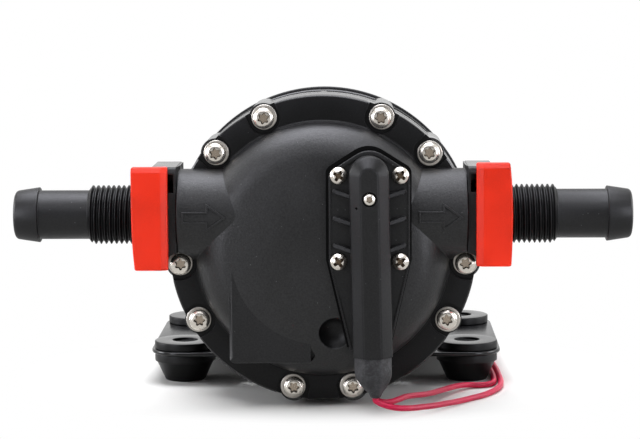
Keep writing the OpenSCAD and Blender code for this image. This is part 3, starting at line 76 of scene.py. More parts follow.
def put(tree, kind, inputs=None, **settings):  # adds a node; an input that is a node links its first output
    made = tree.nodes.new("ShaderNode" + kind)
    for key, value in settings.items():
        setattr(made, key, value)
    for key, value in (inputs or {}).items():
        if isinstance(value, bpy.types.Node):
            value = value.outputs[0]
        if isinstance(value, bpy.types.NodeSocket):
            tree.links.new(value, made.inputs[key])
        else:
            made.inputs[key].default_value = value
    return made


def newMaterial(name):
    material = bpy.data.materials.new(name)
    material.use_nodes = True
    material.node_tree.nodes.clear()
    return material, material.node_tree


def added(name, data):  # a new object in the scene
    made = bpy.data.objects.new(name, data)
    bpy.context.scene.collection.objects.link(made)
    return made


def aimed(thing, aim):  # the turn that points a camera or lamp at a place
    return (Vector(mm(*aim)) - thing.location).to_track_quat("-Z", "Y")


# The pump's own directions: x right, y up, z forward from the head joint, in millimetres
axisZ = (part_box("motor_shaft")[0].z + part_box("motor_shaft")[1].z) / 2
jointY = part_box("pump_head")[1].y
floorFrame = Matrix.Scale(0.001, 4)
standing = Matrix.Rotation(math.pi / 2, 4, "X")
mirrorX = Matrix.Scale(-1, 4, (1, 0, 0))
pumpFrame = Matrix.Translation((0, jointY, axisZ)) @ standing @ floorFrame
print("frame loaded,", len(cadNodes), "nodes, axis", round(axisZ * 1000, 1), "mm above the floor")


# Camera at the photograph's viewing angle
viewSet = {"place": (14.05, -817.6, 150.9), "aim": (-2.573, 0, 57.47), "focalPixels": 2094.6, "roll": -0.3,
           "imageWidth": 640, "sensor": 36}
cameraData = bpy.data.cameras.new("photoCamera")
camera = added("photoCamera", cameraData)
camera.location = mm(*viewSet["place"])
levelTurn = aimed(camera, viewSet["aim"]).to_matrix()
camera.rotation_euler = (levelTurn @ Matrix.Rotation(math.radians(viewSet["roll"]), 3, "Z")).to_euler()
cameraData.sensor_width = viewSet["sensor"]
cameraData.lens = viewSet["focalPixels"] * viewSet["sensor"] / viewSet["imageWidth"]
cameraData.clip_start, cameraData.clip_end = 0.01, 100
bpy.context.scene.camera = camera
bpy.context.scene.view_settings.view_transform = "Standard"


# Wires: two insulated leads from the switch boot, laid on the floor round the right front foot
wireSet = {
    "radius": 1.05, "roundSteps": 5, "bendSteps": 8,
    "supplyRoute": [
        (18.4, -104.85, 7.8), (18.45, -104.9, 7), (19.6, -105, 6.3), (21.4, -105.2, 5.9), (23.7, -104.2, 5.8),
        (26.2, -101, 5.9), (29.1, -95.3, 5.8), (32, -90, 5.2), (35.3, -85, 4.5), (38.3, -79, 3.8),
        (41.5, -72, 3.2), (44.7, -64.5, 2.6), (48.3, -57.5, 2.1), (51.4, -53.3, 1.7), (54.2, -50.9, 1.3),
        (57.6, -50, 1.1), (60.8, -48.4, 1.1), (62.8, -44.8, 1.1), (63.5, -39, 1.1), (63.6, -32, 1.1),
        (63.5, -25, 1.1), (63.2, -17, 1.1), (62.8, -8, 1.1), (62.4, 2, 1.1), (62.4, 12, 1.1), (62.8, 21, 1.1),
        (63.4, 30, 1.1), (63.4, 39, 1.1), (62.8, 47, 1.1), (61.4, 55, 1.1), (59.2, 63, 1.1),
        (56.2, 70.5, 1.1), (52.4, 77.5, 1.1), (47.5, 83, 1.1), (41.5, 87, 1.1), (35, 89.5, 1.1)],
    "motorRoute": [
        (18.4, -107.15, 7.8), (18.45, -107.2, 7), (19.5, -107.4, 6.2), (21.3, -108, 5.5), (23.7, -108.4, 4.9),
        (26.1, -108, 4.4), (28.9, -106.5, 4), (31.8, -103.5, 3.5), (35, -99.8, 3.1), (37.9, -96.4, 2.7),
        (40.8, -92.3, 2.3), (43.8, -87.8, 1.9), (47.2, -83, 1.5), (50.3, -78.4, 1.2), (53.7, -73.9, 1.1),
        (56.8, -70.3, 1.1), (59.8, -65.6, 1.1), (62.4, -60, 1.1), (64.4, -53.6, 1.1), (65.5, -47, 1.1),
        (65.9, -39, 1.1), (65.9, -30, 1.1), (65.7, -20, 1.1), (65.2, -10, 1.1), (64.8, 0, 1.1),
        (64.8, 10, 1.1), (65.2, 20, 1.1), (65.7, 30, 1.1), (65.8, 40, 1.1), (65.3, 50, 1.3), (63.9, 60, 2.2),
        (60.9, 69, 4.6), (55.7, 76, 8.6), (48.5, 80.6, 14), (39.8, 82.6, 20.4), (31, 82.4, 26.6),
        (23.4, 80, 32), (17.4, 76, 36), (10.5, 65.6, 38.11)]}


def layWire(name, route):
    data = bpy.data.curves.new(name, "CURVE")
    data.dimensions = "3D"
    data.bevel_depth = wireSet["radius"] / 1000
    data.bevel_resolution = wireSet["roundSteps"]
    data.resolution_u = wireSet["bendSteps"]
    data.use_fill_caps = True
    spline = data.splines.new("BEZIER")
    spline.bezier_points.add(len(route) - 1)
    for point, at in zip(spline.bezier_points, route):
        point.co = mm(*at)
        point.handle_left_type = point.handle_right_type = "AUTO"
    return added(name, data)


supplyWire = layWire("supplyWire", wireSet["supplyRoute"])
motorWire = layWire("motorWire", wireSet["motorRoute"])
print("camera set and wires laid")


# Plain pale floor that is white away from the pump and keeps its shadow close by
stageSet = {"size": 60, "floor": "#f6f6f6", "middle": (0, -20), "clear": (60, 96), "squeeze": 0.8,
            "mirrored": 0.72}
bpy.ops.object.select_all(action="DESELECT")
bpy.ops.mesh.primitive_plane_add(size=stageSet["size"])
floor = bpy.context.object
floor.name = "studioFloor"
floorPaint, tree = newMaterial("white paper floor")
path = put(tree, "LightPath")
glossy = put(tree, "Math", {0: path.outputs["Is Glossy Ray"], 1: stageSet["mirrored"]}, operation="MULTIPLY")
direct = put(tree, "Math", {0: path.outputs["Is Camera Ray"], 1: path.outputs["Is Transmission Ray"]},
             operation="MAXIMUM")
seen = put(tree, "Math", {0: direct, 1: path.outputs["Is Glossy Ray"]}, operation="MAXIMUM")
level = put(tree, "Math", {0: direct, 1: glossy}, operation="MAXIMUM")
spot = put(tree, "TexCoord")
aside = put(tree, "Mapping", {"Vector": spot.outputs["Object"], "Scale": (stageSet["squeeze"], 1, 1),
                              "Location": mm(*(-v for v in stageSet["middle"]), 0)})
reach = put(tree, "VectorMath", {0: aside}, operation="LENGTH")
away = put(tree, "MapRange", {"Value": reach.outputs["Value"], "From Min": stageSet["clear"][0] / 1000,
                              "From Max": stageSet["clear"][1] / 1000}, interpolation_type="SMOOTHSTEP")
paper = put(tree, "BsdfDiffuse", {"Color": linear(stageSet["floor"])})
farWhite = put(tree, "Emission", {"Strength": level})
farShare = put(tree, "Math", {0: seen, 1: away}, operation="MULTIPLY")
floorMix = put(tree, "MixShader", {0: farShare, 1: paper, 2: farWhite})
put(tree, "OutputMaterial", {"Surface": floorMix})
floor.data.materials.append(floorPaint)

# Studio: white to the camera, and for the light a room that is dim only in front
roomSet = {"dim": 0.12, "bright": 1.2, "from": -0.95, "to": 0.05, "behind": (0, 0.95, 0.3), "diffuse": 0.36}
world = bpy.data.worlds.new("studioRoom")
bpy.context.scene.world = world
world.use_nodes = True
tree = world.node_tree
tree.nodes.clear()
path = put(tree, "LightPath")
seen = put(tree, "Math", {0: path.outputs["Is Camera Ray"], 1: path.outputs["Is Transmission Ray"]},
           operation="MAXIMUM")
way = put(tree, "TexCoord")
aside = put(tree, "VectorMath", {0: way.outputs["Generated"], 1: roomSet["behind"]}, operation="DOT_PRODUCT")
bright = put(tree, "MapRange", {"Value": aside.outputs["Value"], "From Min": roomSet["from"],
                                "From Max": roomSet["to"], "To Min": roomSet["dim"],
                                "To Max": roomSet["bright"]}, interpolation_type="SMOOTHSTEP")
softer = put(tree, "MapRange", {"Value": path.outputs["Is Diffuse Ray"], "To Min": 1,
                                "To Max": roomSet["diffuse"]})
strength = put(tree, "Math", {0: bright, 1: softer}, operation="MULTIPLY")
room = put(tree, "Background", {"Strength": strength})
white = put(tree, "Background", {"Strength": 1})
roomMix = put(tree, "MixShader", {0: seen, 1: room, 2: white})
put(tree, "OutputWorld", {"Surface": roomMix})

lampSet = {  # place, aim, width, height, watts
    "topSoftbox": ((-50, 280, 740), (0, -70, 40), 640, 420, 7),
    "leftSoftbox": ((-720, 90, 260), (0, -80, 50), 240, 560, 1.8),
    "rightSoftbox": ((720, 110, 250), (0, -80, 50), 240, 560, 1.6),
    "frontFill": ((-160, -640, 860), (0, -80, 50), 420, 320, 3.2),
    "backCard": ((-50, 150, 755), (0, -70, 40), 640, 420, 4),
    "topCard": ((-60, -200, 760), (0, -80, 60), 760, 320, 4),
    "highCard": ((-120, -720, 620), (0, -80, 60), 700, 260, 1.1),
    "leftEdgeCard": ((-700, -60, 160), (0, -80, 60), 260, 420, 2),
    "rightEdgeCard": ((700, -60, 160), (0, -80, 60), 260, 420, 1.4),
    "leftCard": ((-640, -720, 230), (0, -80, 60), 300, 520, 3.2),
    "rightCard": ((640, -720, 230), (0, -80, 60), 300, 520, 3.5)}
cardTint = (0.96, 0.97, 1.06)  # daylight in the mirrored cards
for name, (place, aim, wide, high, watts) in lampSet.items():
    lampData = bpy.data.lights.new(name, "AREA")
    lampData.shape, lampData.size, lampData.size_y = "RECTANGLE", wide / 1000, high / 1000
    lampData.energy = watts
    lamp = added(name, lampData)
    if name.endswith("Card"):  # the card is only there to be mirrored
        lamp.visible_diffuse = False
        lampData.color = cardTint
    lamp.visible_glossy = name not in ("topSoftbox", "frontFill")  # these two only light and aren't mirrored
    lamp.location = mm(*place)
    lamp.rotation_euler = aimed(lamp, aim).to_euler()
print("floor, room and lamps set")


# Moulded plastics: spark-eroded mould grain, slow gloss changes from the melt, edges slightly rounded
noiseSpan = {"From Min": 0.3, "From Max": 0.7}  # where nearly all of a noise lies
plasticSet = {"melt": 22, "pepper": 0.6, "bloom": 2.4, "bloomSpan": (0.42, 0.66), "dust": 3.4,
              "dustSpan": (0.035, 0.06), "dustShare": 0.55, "tone": (0.86, 1.14), "gloss": 0.05, "bump": 0.6}


def mouldedPlastic(name, colour, rough, grain, depth, edge, speck=None, shine=0.5, mottle=None, fleckle=0.02):
    material, tree = newMaterial(name)
    t = plasticSet
    at = put(tree, "TexCoord").outputs["Object"]
    fine = put(tree, "TexNoise", {"Vector": at, "Scale": 1000 / grain, "Detail": 3, "Roughness": 0.6})
    slow = put(tree, "TexNoise", {"Vector": at, "Scale": 1000 / t["melt"], "Detail": 2})
    tone = put(tree, "MapRange", {"Value": slow, **noiseSpan, "To Min": t["tone"][0], "To Max": t["tone"][1]})
    pepper = put(tree, "TexNoise", {"Vector": at, "Scale": 1000 / t["pepper"], "Detail": 1})
    fleck = put(tree, "MapRange", {"Value": pepper, **noiseSpan, "To Min": 1 - fleckle,
                                   "To Max": 1 + fleckle})
    mixed = put(tree, "Math", {0: tone, 1: fleck}, operation="MULTIPLY")
    face = put(tree, "VectorMath", {0: linear(colour)[:3], "Scale": mixed}, operation="SCALE").outputs[0]
    if mottle:  # grey bloom that comes and goes over a soft skin
        cloud = put(tree, "TexNoise", {"Vector": at, "Scale": 1000 / t["bloom"], "Detail": 5,
                                       "Roughness": 0.7})
        part = put(tree, "MapRange", {"Value": cloud, "From Min": t["bloomSpan"][0],
                                      "From Max": t["bloomSpan"][1]})
        face = put(tree, "Mix", {0: part, 6: face, 7: linear(mottle)}, data_type="RGBA").outputs[2]
    if speck:  # stray dust on dark plastic, drawn a little coarser than life so that it shows
        dust = put(tree, "TexVoronoi", {"Vector": at, "Scale": 1000 / t["dust"]})
        dot = put(tree, "MapRange", {"Value": dust, "From Min": t["dustSpan"][0],
                                     "From Max": t["dustSpan"][1], "To Min": t["dustShare"], "To Max": 0})
        face = put(tree, "Mix", {0: dot, 6: face, 7: linear(speck)}, data_type="RGBA").outputs[2]
    gloss = put(tree, "MapRange", {"Value": slow, **noiseSpan, "To Min": rough - t["gloss"],
                                   "To Max": rough + t["gloss"]})
    sheen = put(tree, "MapRange", {"Value": pepper, **noiseSpan, "To Min": shine * (1 - fleckle),
                                   "To Max": shine * (1 + fleckle)})
    rounded = put(tree, "Bevel", {"Radius": edge / 1000}, samples=6)
    bump = put(tree, "Bump", {"Height": fine, "Strength": t["bump"], "Distance": depth / 1000,
                              "Normal": rounded})
    skin = put(tree, "BsdfPrincipled", {"Base Color": face, "Roughness": gloss, "IOR": 1.5,
                                        "Specular IOR Level": sheen, "Normal": bump})
    put(tree, "OutputMaterial", {"Surface": skin})
    return material


# Metals: a brushed or barrel-tumbled surface whose fine marks spread the highlight
metalSet = {"stain": 6, "tone": (0.92, 1.05), "gloss": (0.9, 1.2), "bump": 0.35}


def workedMetal(name, colour, rough, mark, depth, stretch=(1, 1, 1)):
    material, tree = newMaterial(name)
    t = metalSet
    at = put(tree, "TexCoord").outputs["Object"]
    along = put(tree, "Mapping", {"Vector": at, "Scale": stretch})
    marks = put(tree, "TexNoise", {"Vector": along, "Scale": 1000 / mark, "Detail": 4})
    stain = put(tree, "TexNoise", {"Vector": at, "Scale": 1000 / t["stain"], "Detail": 2})
    tone = put(tree, "MapRange", {"Value": stain, **noiseSpan, "To Min": t["tone"][0],
                                  "To Max": t["tone"][1]})
    shade = put(tree, "VectorMath", {0: linear(colour)[:3], "Scale": tone}, operation="SCALE")
    gloss = put(tree, "MapRange", {"Value": marks, **noiseSpan, "To Min": rough * t["gloss"][0],
                                   "To Max": rough * t["gloss"][1]})
    bump = put(tree, "Bump", {"Height": marks, "Strength": t["bump"], "Distance": depth / 1000})
    skin = put(tree, "BsdfPrincipled", {"Base Color": shade, "Metallic": 1, "Roughness": gloss,
                                        "Normal": bump})
    put(tree, "OutputMaterial", {"Surface": skin})
    return material


# Glass-filled nylon of the dome and ports: satin black with a fine spark-eroded grain and faint dust
headNylon = mouldedPlastic("glass-filled nylon", "#0e0e0f", 0.44, 0.7, 0.14, 0.35, speck="#6a6a6d",
                           shine=0.46, fleckle=0.12)
# The same nylon, darker, less glossy and with a finer grain: on the flange and the dome's lip, and as painted
# shade on the stub ends, the recess, the block's strip, the cover's gussets and ridge flanks, the thread
# roots and the adaptor's lip
flangeAndShadeNylon = mouldedPlastic("darker nylon of the flange and painted shade", "#080809", 0.42, 0.5, 0.015, 0.35,
                             speck="#5a5a5c", shine=0.21, fleckle=0.1)
# Flat block on the dome and the fronts of the guides: a copy of the dome's nylon with less gloss, painted
# darker than the dome
blockShadeNylon = mouldedPlastic("nylon painted darker for the block", "#0f0f10", 0.46, 0.7, 0.1, 0.3, speck="#5a5a5c",
                            shine=0.36, fleckle=0.12)
# Nylon of the drive housing and of outer edges: smooth, goes pale where it is seen along the surface
edgeNylon = mouldedPlastic("smooth nylon", "#0a0a0b", 0.17, 0.6, 0.001, 0.3, shine=0.75)
# Black acetal of the hose fittings: smooth turned skin with a soft clear highlight
fittingAcetal = mouldedPlastic("black acetal", "#0d0d0f", 0.43, 0.8, 0.02, 0.2, speck="#6a6a6d",
                               shine=0.36, fleckle=0.06)
# Switch cover in ABS: darker and a little smoother than the head
coverAbs = mouldedPlastic("black ABS", "#0b0b0c", 0.44, 0.7, 0.06, 0.3, speck="#6a6a6d", shine=0.36,
                          fleckle=0.1)
# The sunk tray of the cover: the same ABS, darker and with hardly any gloss, as painted shade on the tray
# floor
trayShadeAbs = mouldedPlastic("black ABS painted with the tray's shade", "#050506", 0.55, 0.6, 0.03, 0.3, shine=0.12, fleckle=0.1)
# Red ABS of the slide clips: bright, even, satin
clipAbs = mouldedPlastic("red ABS", "#ff3213", 0.36, 0.8, 0.012, 0.35, shine=0.2)
# Natural acetal of valve plate, pistons, wobble plate and plunger: milky white
whiteAcetal = mouldedPlastic("natural acetal", "#dcdcd2", 0.42, 0.6, 0.01, 0.2)
# EPDM rubber of the feet, seals and grommet: deep black and dull, face on
footRubber = mouldedPlastic("EPDM rubber", "#070708", 0.42, 0.5, 0.006, 0.3, speck="#5a5a5d", shine=0.22)
# The feet's flat tops, moulded against a polished face: pale where the eye skims over them
footTop = mouldedPlastic("polished EPDM rubber", "#0d0d0e", 0.2, 0.6, 0.001, 0.3, shine=0.68)
# Nitrile sheet under the switch: near black, so its edge paints the shadow line round the cover
shadowLineNitrile = mouldedPlastic("nitrile sheet as shadow line", "#040404", 0.8, 0.4, 0.02, 0.1, shine=0.1)
# Soft PVC boot: grey bloom on black, dull and blotchy
bootPvc = mouldedPlastic("soft PVC boot", "#222224", 0.62, 0.8, 0.12, 0.5, speck="#7a7a7d", shine=0.42,
                         mottle="#3b3b3e", fleckle=0.1)
# Motor can and base plate: stoved black enamel with a slight orange peel
canEnamel = mouldedPlastic("stoved black enamel", "#0e0e10", 0.2, 1.6, 0.002, 0.3, shine=0.4)
# PVC wire insulation: crimson, waxy
wirePvc = mouldedPlastic("crimson PVC insulation", "#d8144c", 0.4, 1.2, 0.01, 0.1, shine=0.3)
# Paper-based laminate of the brush holder: dull brown
laminate = mouldedPlastic("brown phenolic laminate", "#5b4630", 0.6, 1, 0.02, 0.2)
# Sintered ferrite of the magnets: dull grey
ferrite = mouldedPlastic("sintered ferrite", "#3a3a40", 0.7, 0.5, 0.02, 0.2)
# Carbon of the brushes: soft grey-black
carbon = mouldedPlastic("electro-graphite", "#2a2a2c", 0.5, 0.4, 0.01, 0.1)
# A2 stainless screws: cold headed and tumbled, warm white with soft streaks
stainless = workedMetal("A2 stainless steel", "#e0dad0", 0.24, 1.2, 0.0006)
# Stamped washers: the same steel, duller
washerSteel = workedMetal("stamped stainless steel", "#bdb8b0", 0.36, 0.8, 0.0006)
# Painted shade in the sockets: dark brown on the socket walls and round the foot of the head screws, so that
# the star, the cross and the seat show
socketShade = mouldedPlastic("painted socket shade", "#33271b", 0.6, 0.3, 0.01, 0.05, shine=0.2)
# Bottoms of the star sockets and the hexagon socket: punched steel, darker and browner than the heads
socketSteel = workedMetal("darkened socket steel", "#a89b8c", 0.24, 0.5, 0.004)
# The same steel on the floors of the cross slots, dark brown and dull, between the walls painted in shade
crossSteel = workedMetal("darkened cross-slot steel", "#6b5d4e", 0.34, 0.5, 0.004)
# Ground bearing steel: bright and nearly a mirror
bearingSteel = workedMetal("ground bearing steel", "#c9ccd0", 0.15, 0.4, 0.003)
# Turned steel of the cam hub: mid grey, satin
hubSteel = workedMetal("turned steel", "#9a9ca0", 0.3, 0.4, 0.006)
# Stacked plates of the armature: darker grey, with lines across the axis
coreSteel = workedMetal("silicon steel laminations", "#74777c", 0.45, 0.5, 0.02, (1, 8, 1))
# Enamelled copper: reddish brown with a soft shine
copperWire = workedMetal("enamelled copper", "#b5602b", 0.35, 0.9, 0.03)
# Sintered bronze: dull brass-brown
sinterBronze = workedMetal("sintered bronze", "#a88552", 0.5, 0.3, 0.02)
# Tinned strands at the bare end: pale silver
tinnedCopper = workedMetal("tinned copper strands", "#c9c8c2", 0.3, 0.3, 0.03)
print("materials mixed")


def mode(kind):
    bpy.ops.object.mode_set(mode=kind)


def deselect():
    if bpy.context.object and bpy.context.object.mode != "OBJECT":
        mode("OBJECT")
    bpy.ops.object.select_all(action="DESELECT")


def pick(*pieces):
    deselect()
    bpy.context.view_layer.update()
    for piece in pieces:
        piece.select_set(True)
    bpy.context.view_layer.objects.active = pieces[0]


def editAll(piece):  # into edit mode with everything selected
    pick(piece)
    mode("EDIT")
    bpy.ops.mesh.select_all(action="SELECT")


def editEdges(piece, chosen):  # into edit mode with the edges selected whose two ends pass the test
    pick(piece)
    mode("EDIT")
    bpy.ops.mesh.select_mode(type="EDGE")
    bpy.ops.mesh.select_all(action="DESELECT")
    mode("OBJECT")
    points = piece.data.vertices
    for edge in piece.data.edges:
        edge.select = chosen(points[edge.vertices[0]].co, points[edge.vertices[1]].co)
    mode("EDIT")


def named(name):
    piece = bpy.context.object
    piece.name = piece.data.name = name
    return piece


def arcCorners(corners, steps=6):  # corners (x, y, fillet): each fillet becomes an arc
    outline = []
    for i, (x, y, fillet) in enumerate(corners):
        here = Vector((x, y))
        if not fillet:
            outline.append((x, y))
            continue
        back = (Vector(corners[i - 1][:2]) - here).normalized()
        on = (Vector(corners[(i + 1) % len(corners)][:2]) - here).normalized()
        half = back.angle(on) / 2
        centre = here + (back + on).normalized() * fillet / math.sin(half)
        start = here + back * fillet / math.tan(half) - centre
        stop = here + on * fillet / math.tan(half) - centre
        turn = math.atan2(start.x * stop.y - start.y * stop.x, start.dot(stop))
        first = math.atan2(start.y, start.x)
        for k in range(steps + 1):
            angle = first + turn * k / steps
            outline.append((centre.x + fillet * math.cos(angle), centre.y + fillet * math.sin(angle)))
    return outline


def tidyMesh(piece):
    editAll(piece)
    bpy.ops.mesh.remove_doubles(threshold=0.0005)
    bpy.ops.mesh.normals_make_consistent(inside=False)
    mode("OBJECT")
    return piece


def lathe(name, outline, sides=96, closed=True):  # rings of (radius, z), drawn out one by one
    deselect()
    radius, level = outline[0]
    bpy.ops.mesh.primitive_circle_add(vertices=sides, radius=radius, location=(0, 0, level))
    piece = named(name)
    bpy.ops.object.transform_apply(location=True)
    editAll(piece)
    for r, z in outline[1:] + (outline[:1] if closed else []):
        bpy.ops.mesh.extrude_edges_move(TRANSFORM_OT_translate={"value": (0, 0, z - level)})
        bpy.ops.transform.resize(value=(r / radius, r / radius, 1), center_override=(0, 0, z))
        radius, level = r, z
    mode("OBJECT")
    return tidyMesh(piece)


def loft(name, rings):  # rings of points with the same count, capped at both ends
    deselect()
    bpy.ops.mesh.primitive_circle_add(vertices=len(rings[0]), radius=1)
    piece = named(name)
    for vertex, at in zip(piece.data.vertices, rings[0]):
        vertex.co = at
    editAll(piece)
    bpy.ops.mesh.edge_face_add()
    for last, ring in zip(rings, rings[1:]):
        bpy.ops.mesh.extrude_region_move(TRANSFORM_OT_translate={"value": (0, 0, 0)})
        mode("OBJECT")
        for vertex in piece.data.vertices[len(piece.data.vertices) - len(ring):]:
            nearest = min(range(len(ring)), key=lambda n: (Vector(last[n]) - vertex.co).length)
            vertex.co = ring[nearest]
        mode("EDIT")
    mode("OBJECT")
    return tidyMesh(piece)


def plate(name, outline, low, high):  # flat outline drawn up from one level to another
    return loft(name, [[(x, y, z) for x, y in outline] for z in (low, high)])


def box(name, low, high):
    deselect()
    bpy.ops.mesh.primitive_cube_add(size=1)
    piece = named(name)
    for vertex in piece.data.vertices:
        vertex.co = [h if c > 0 else l for c, l, h in zip(vertex.co, low, high)]
    return tidyMesh(piece)


def rod(name, radius, low, high, sides=64):
    deselect()
    bpy.ops.mesh.primitive_cylinder_add(vertices=sides, radius=radius, depth=high - low,
                                        location=(0, 0, (low + high) / 2))
    piece = named(name)
    bpy.ops.object.transform_apply(location=True)
    return piece


def moved(piece, matrix):
    pick(piece)
    piece.data.transform(matrix)
    return piece


def copied(piece, name, matrix):
    made = added(name, piece.data.copy())
    made.data.name = name
    return moved(made, matrix)


def joined(name, pieces):
    pick(*pieces)
    if len(pieces) > 1:
        bpy.ops.object.join()
    return named(name)


def combine(piece, other, operation):
    pick(piece)
    change = piece.modifiers.new("change", "BOOLEAN")
    change.object, change.operation, change.solver = other, operation, "MANIFOLD"
    bpy.ops.object.modifier_apply(modifier=change.name)
    bpy.data.objects.remove(other)
    return piece


def softenEdges(piece, width, segments, chosen):  # bevels the edges whose two ends pass the test
    editEdges(piece, chosen)
    bpy.ops.mesh.bevel(offset=width, segments=segments, profile=0.5, affect="EDGES")
    mode("OBJECT")
    return piece


def finishPiece(piece, material, body, replaced=(), place=pumpFrame, smooth=32):
    moved(piece, place)
    piece.data.materials.clear()
    piece.data.materials.append(material)
    pick(piece)
    bpy.ops.object.shade_smooth_by_angle(angle=math.radians(smooth))
    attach(piece, body)
    if replaced:
        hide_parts(*replaced)
    return piece


def facesOf(piece, *finishes):  # adds finishes, then gives each face with its place and direction on the pump
    toPump = pumpFrame.inverted()
    for material in finishes:
        piece.data.materials.append(material)
    for face in piece.data.polygons:
        yield face, toPump @ face.center, (toPump.to_3x3() @ face.normal).normalized()


# Paints shade into screw sockets: faces near the screws, between two heights and steeper than a limit, get
# the given darker finish
def paintSocketShade(piece, places, reach, low, high, walls, socketFinish=socketShade):  # darkens faces in screw sockets
    for face, at, way in facesOf(piece, socketFinish):
        near = min(math.hypot(at.x - x, at.y - y) for x, y in places)
        if near < reach and low < at.z < high and abs(way.z) < walls:
            face.material_index = len(piece.data.materials) - 1


def shifted(x, y, z=0):
    return Matrix.Translation((x, y, z))


def turned(degrees, x=0, y=0, z=0):  # a place in the pump's frame, turned about its own forward axis
    return shifted(x, y, z) @ Matrix.Rotation(math.radians(degrees), 4, "Z")


def alongPort(side):  # turns a lathe's axis to run out along a port
    there = shifted(0, portSet["up"], portSet["forward"]) @ Matrix.Rotation(math.radians(90), 4, "Y")
    return there if side > 0 else mirrorX @ there


# Wires get their sheath, and the supply lead its bare tinned end
for wire, node in ((supplyWire, "supply_wire"), (motorWire, "motor_wire")):
    wire.data.materials.append(wirePvc)
    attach(wire, "pump_body")
    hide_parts(node)

endSet = {"length": 7, "inside": 1, "strandR": 0.3, "twist": 150, "strands": 7, "steps": 8, "sides": 8}
strands = []
for n in range(endSet["strands"]):
    away = 0 if n == 0 else 2 * endSet["strandR"]
    rings = []
    for k in range(endSet["steps"] + 1):
        angle = math.radians(n * 60 + endSet["twist"] * k / endSet["steps"])
        along = endSet["length"] * k / endSet["steps"] - endSet["inside"]
        middle = Vector((away * math.cos(angle), away * math.sin(angle), along))
        rings.append([middle + endSet["strandR"] * Vector((math.cos(a), math.sin(a), 0))
                      for a in [math.tau * i / endSet["sides"] for i in range(endSet["sides"])]])
    strands.append(loft("strand", rings))
bareEnd = joined("supplyBareEnd", strands)
beforeAt, lastAt = (Vector(place) for place in wireSet["supplyRoute"][-2:])
endTurn = Matrix.Translation(lastAt) @ (lastAt - beforeAt).to_track_quat("Z", "Y").to_matrix().to_4x4()
moved(bareEnd, endTurn)
finishPiece(bareEnd, tinnedCopper, "pump_body", place=floorFrame)
mm(*wireSet["supplyRoute"][0])
mm(*wireSet["motorRoute"][0])
print("wires finished")


# Pump head: flange with ten screw pockets, dome, port stubs with clip guides, flat block, switch seat
headSet = {"flangeR": 54.5, "flangeT": 13, "chamfer": 0.6, "domeR": 45, "domeTop": 30.5, "crownR": 200,
           "shoulderR": 14, "wall": 3.5, "lipR": 45.7, "lipH": 0.4, "soft": 0.15, "plateR": 44.1, "plateT": 3,
           "boltR": 50.8, "bossR": 5.3, "pocketZ": 11.5, "pocketR": 5.7, "pocketOut": 9, "spotR": 5.1,
           "spotTop": 32, "holeR": 2.2, "screwAngles": (24, 48, 96, 120, 168)}
portSet = {"up": 12.4, "forward": 12.7, "stubR": 15.1, "stubTall": 1.07, "stubFrom": 27, "stubEnd": 51,
           "stubBevel": 0.5, "back": 0.02, "neckR": 12.2, "neckEnd": 53.6, "guideIn": 50.9, "lugIn": 50.2,
           "guideEnd": 62, "guideH": 17, "guideTop": 17.7, "guideFront": 25, "lugFront": 13,
           "guideChamfer": 2, "guideCorner": 2.6, "socketR": 10.3, "socketFrom": 46, "ductR": 7,
           "slotFrom": {-1: 55.2, 1: 51.8}, "slotTo": 60.2, "slotIn": 8.8, "slotOut": 15.2, "slotBack": 4}
blockSet = {"left": -32.5, "right": -4, "low": -38.5, "sideTop": -4, "endTop": -23.2, "base": 11.6,
            "top": 27.93, "corner": 2, "rightRound": 0.6, "edge": 0.4, "strip": 1,
            "biteUp": 0.4, "biteH": 4.4, "biteIn": 1.25, "biteOut": -0.15, "biteDeep": 3.6}
dimpleSet = {"x": 4.4, "y": -27.9, "rimR": 5.75, "depth": 3.15, "lip": 0.7, "lipRise": 0.16, "open": 3}
switchSet = {"x": 16.5, "seat": 31, "seatBase": 20, "seatInset": 0.6, "half": 14, "headY": 28, "headR": 8.35,
             "slope": 0.635, "shoulder": 3.2, "waistY": -2.3, "waist": 3, "footHalf": 6.85, "footY": -33}
tiny = 0.0002
s, p, b, d = headSet, portSet, blockSet, dimpleSet
crownZ = s["domeTop"] - s["crownR"]
crownGap = s["crownR"] - s["shoulderR"]
ringR = s["domeR"] - s["shoulderR"]
ringZ = crownZ + math.sqrt(crownGap ** 2 - ringR ** 2)


def domeArc(inset, shoulderSteps=14, crownSteps=16):  # from the pole down to the vertical side
    crownR, shoulderR = s["crownR"] - inset, s["shoulderR"] - inset
    lean = math.asin(ringR / crownGap)
    crown = [lean * k / crownSteps for k in range(1, crownSteps)]
    shoulder = [lean + (math.pi / 2 - lean) * k / shoulderSteps for k in range(shoulderSteps + 1)]
    outline = [(tiny, s["domeTop"] - inset)]
    outline += [(crownR * math.sin(a), crownZ + crownR * math.cos(a)) for a in crown]
    return outline + [(ringR + shoulderR * math.sin(a), ringZ + shoulderR * math.cos(a)) for a in shoulder]


def domeZ(r):  # height of the dome's outside at a radius
    if r < ringR * s["crownR"] / crownGap:
        return crownZ + math.sqrt(s["crownR"] ** 2 - r ** 2)
    return ringZ + math.sqrt(max(s["shoulderR"] ** 2 - (r - ringR) ** 2, 0))


def screwPlaces():
    for side in (-1, 1):
        for angle in s["screwAngles"]:
            at = math.radians(side * angle)
            yield side * angle, s["boltR"] * math.sin(at), s["boltR"] * math.cos(at)


def coverOutline(inset, foot=switchSet["footY"]):  # the switch seen from the front
    t = switchSet
    half, headR, footHalf = t["half"] - inset, t["headR"] - inset, t["footHalf"] - inset
    peak = t["headY"] + headR * math.hypot(1, t["slope"])
    eaves = peak - t["slope"] * half
    return arcCorners([(half, t["waistY"], t["waist"]), (half, eaves, t["shoulder"]), (0, peak, headR),
                       (-half, eaves, t["shoulder"]), (-half, t["waistY"], t["waist"]),
                       (-footHalf, foot, 0), (footHalf, foot, 0)], 10)


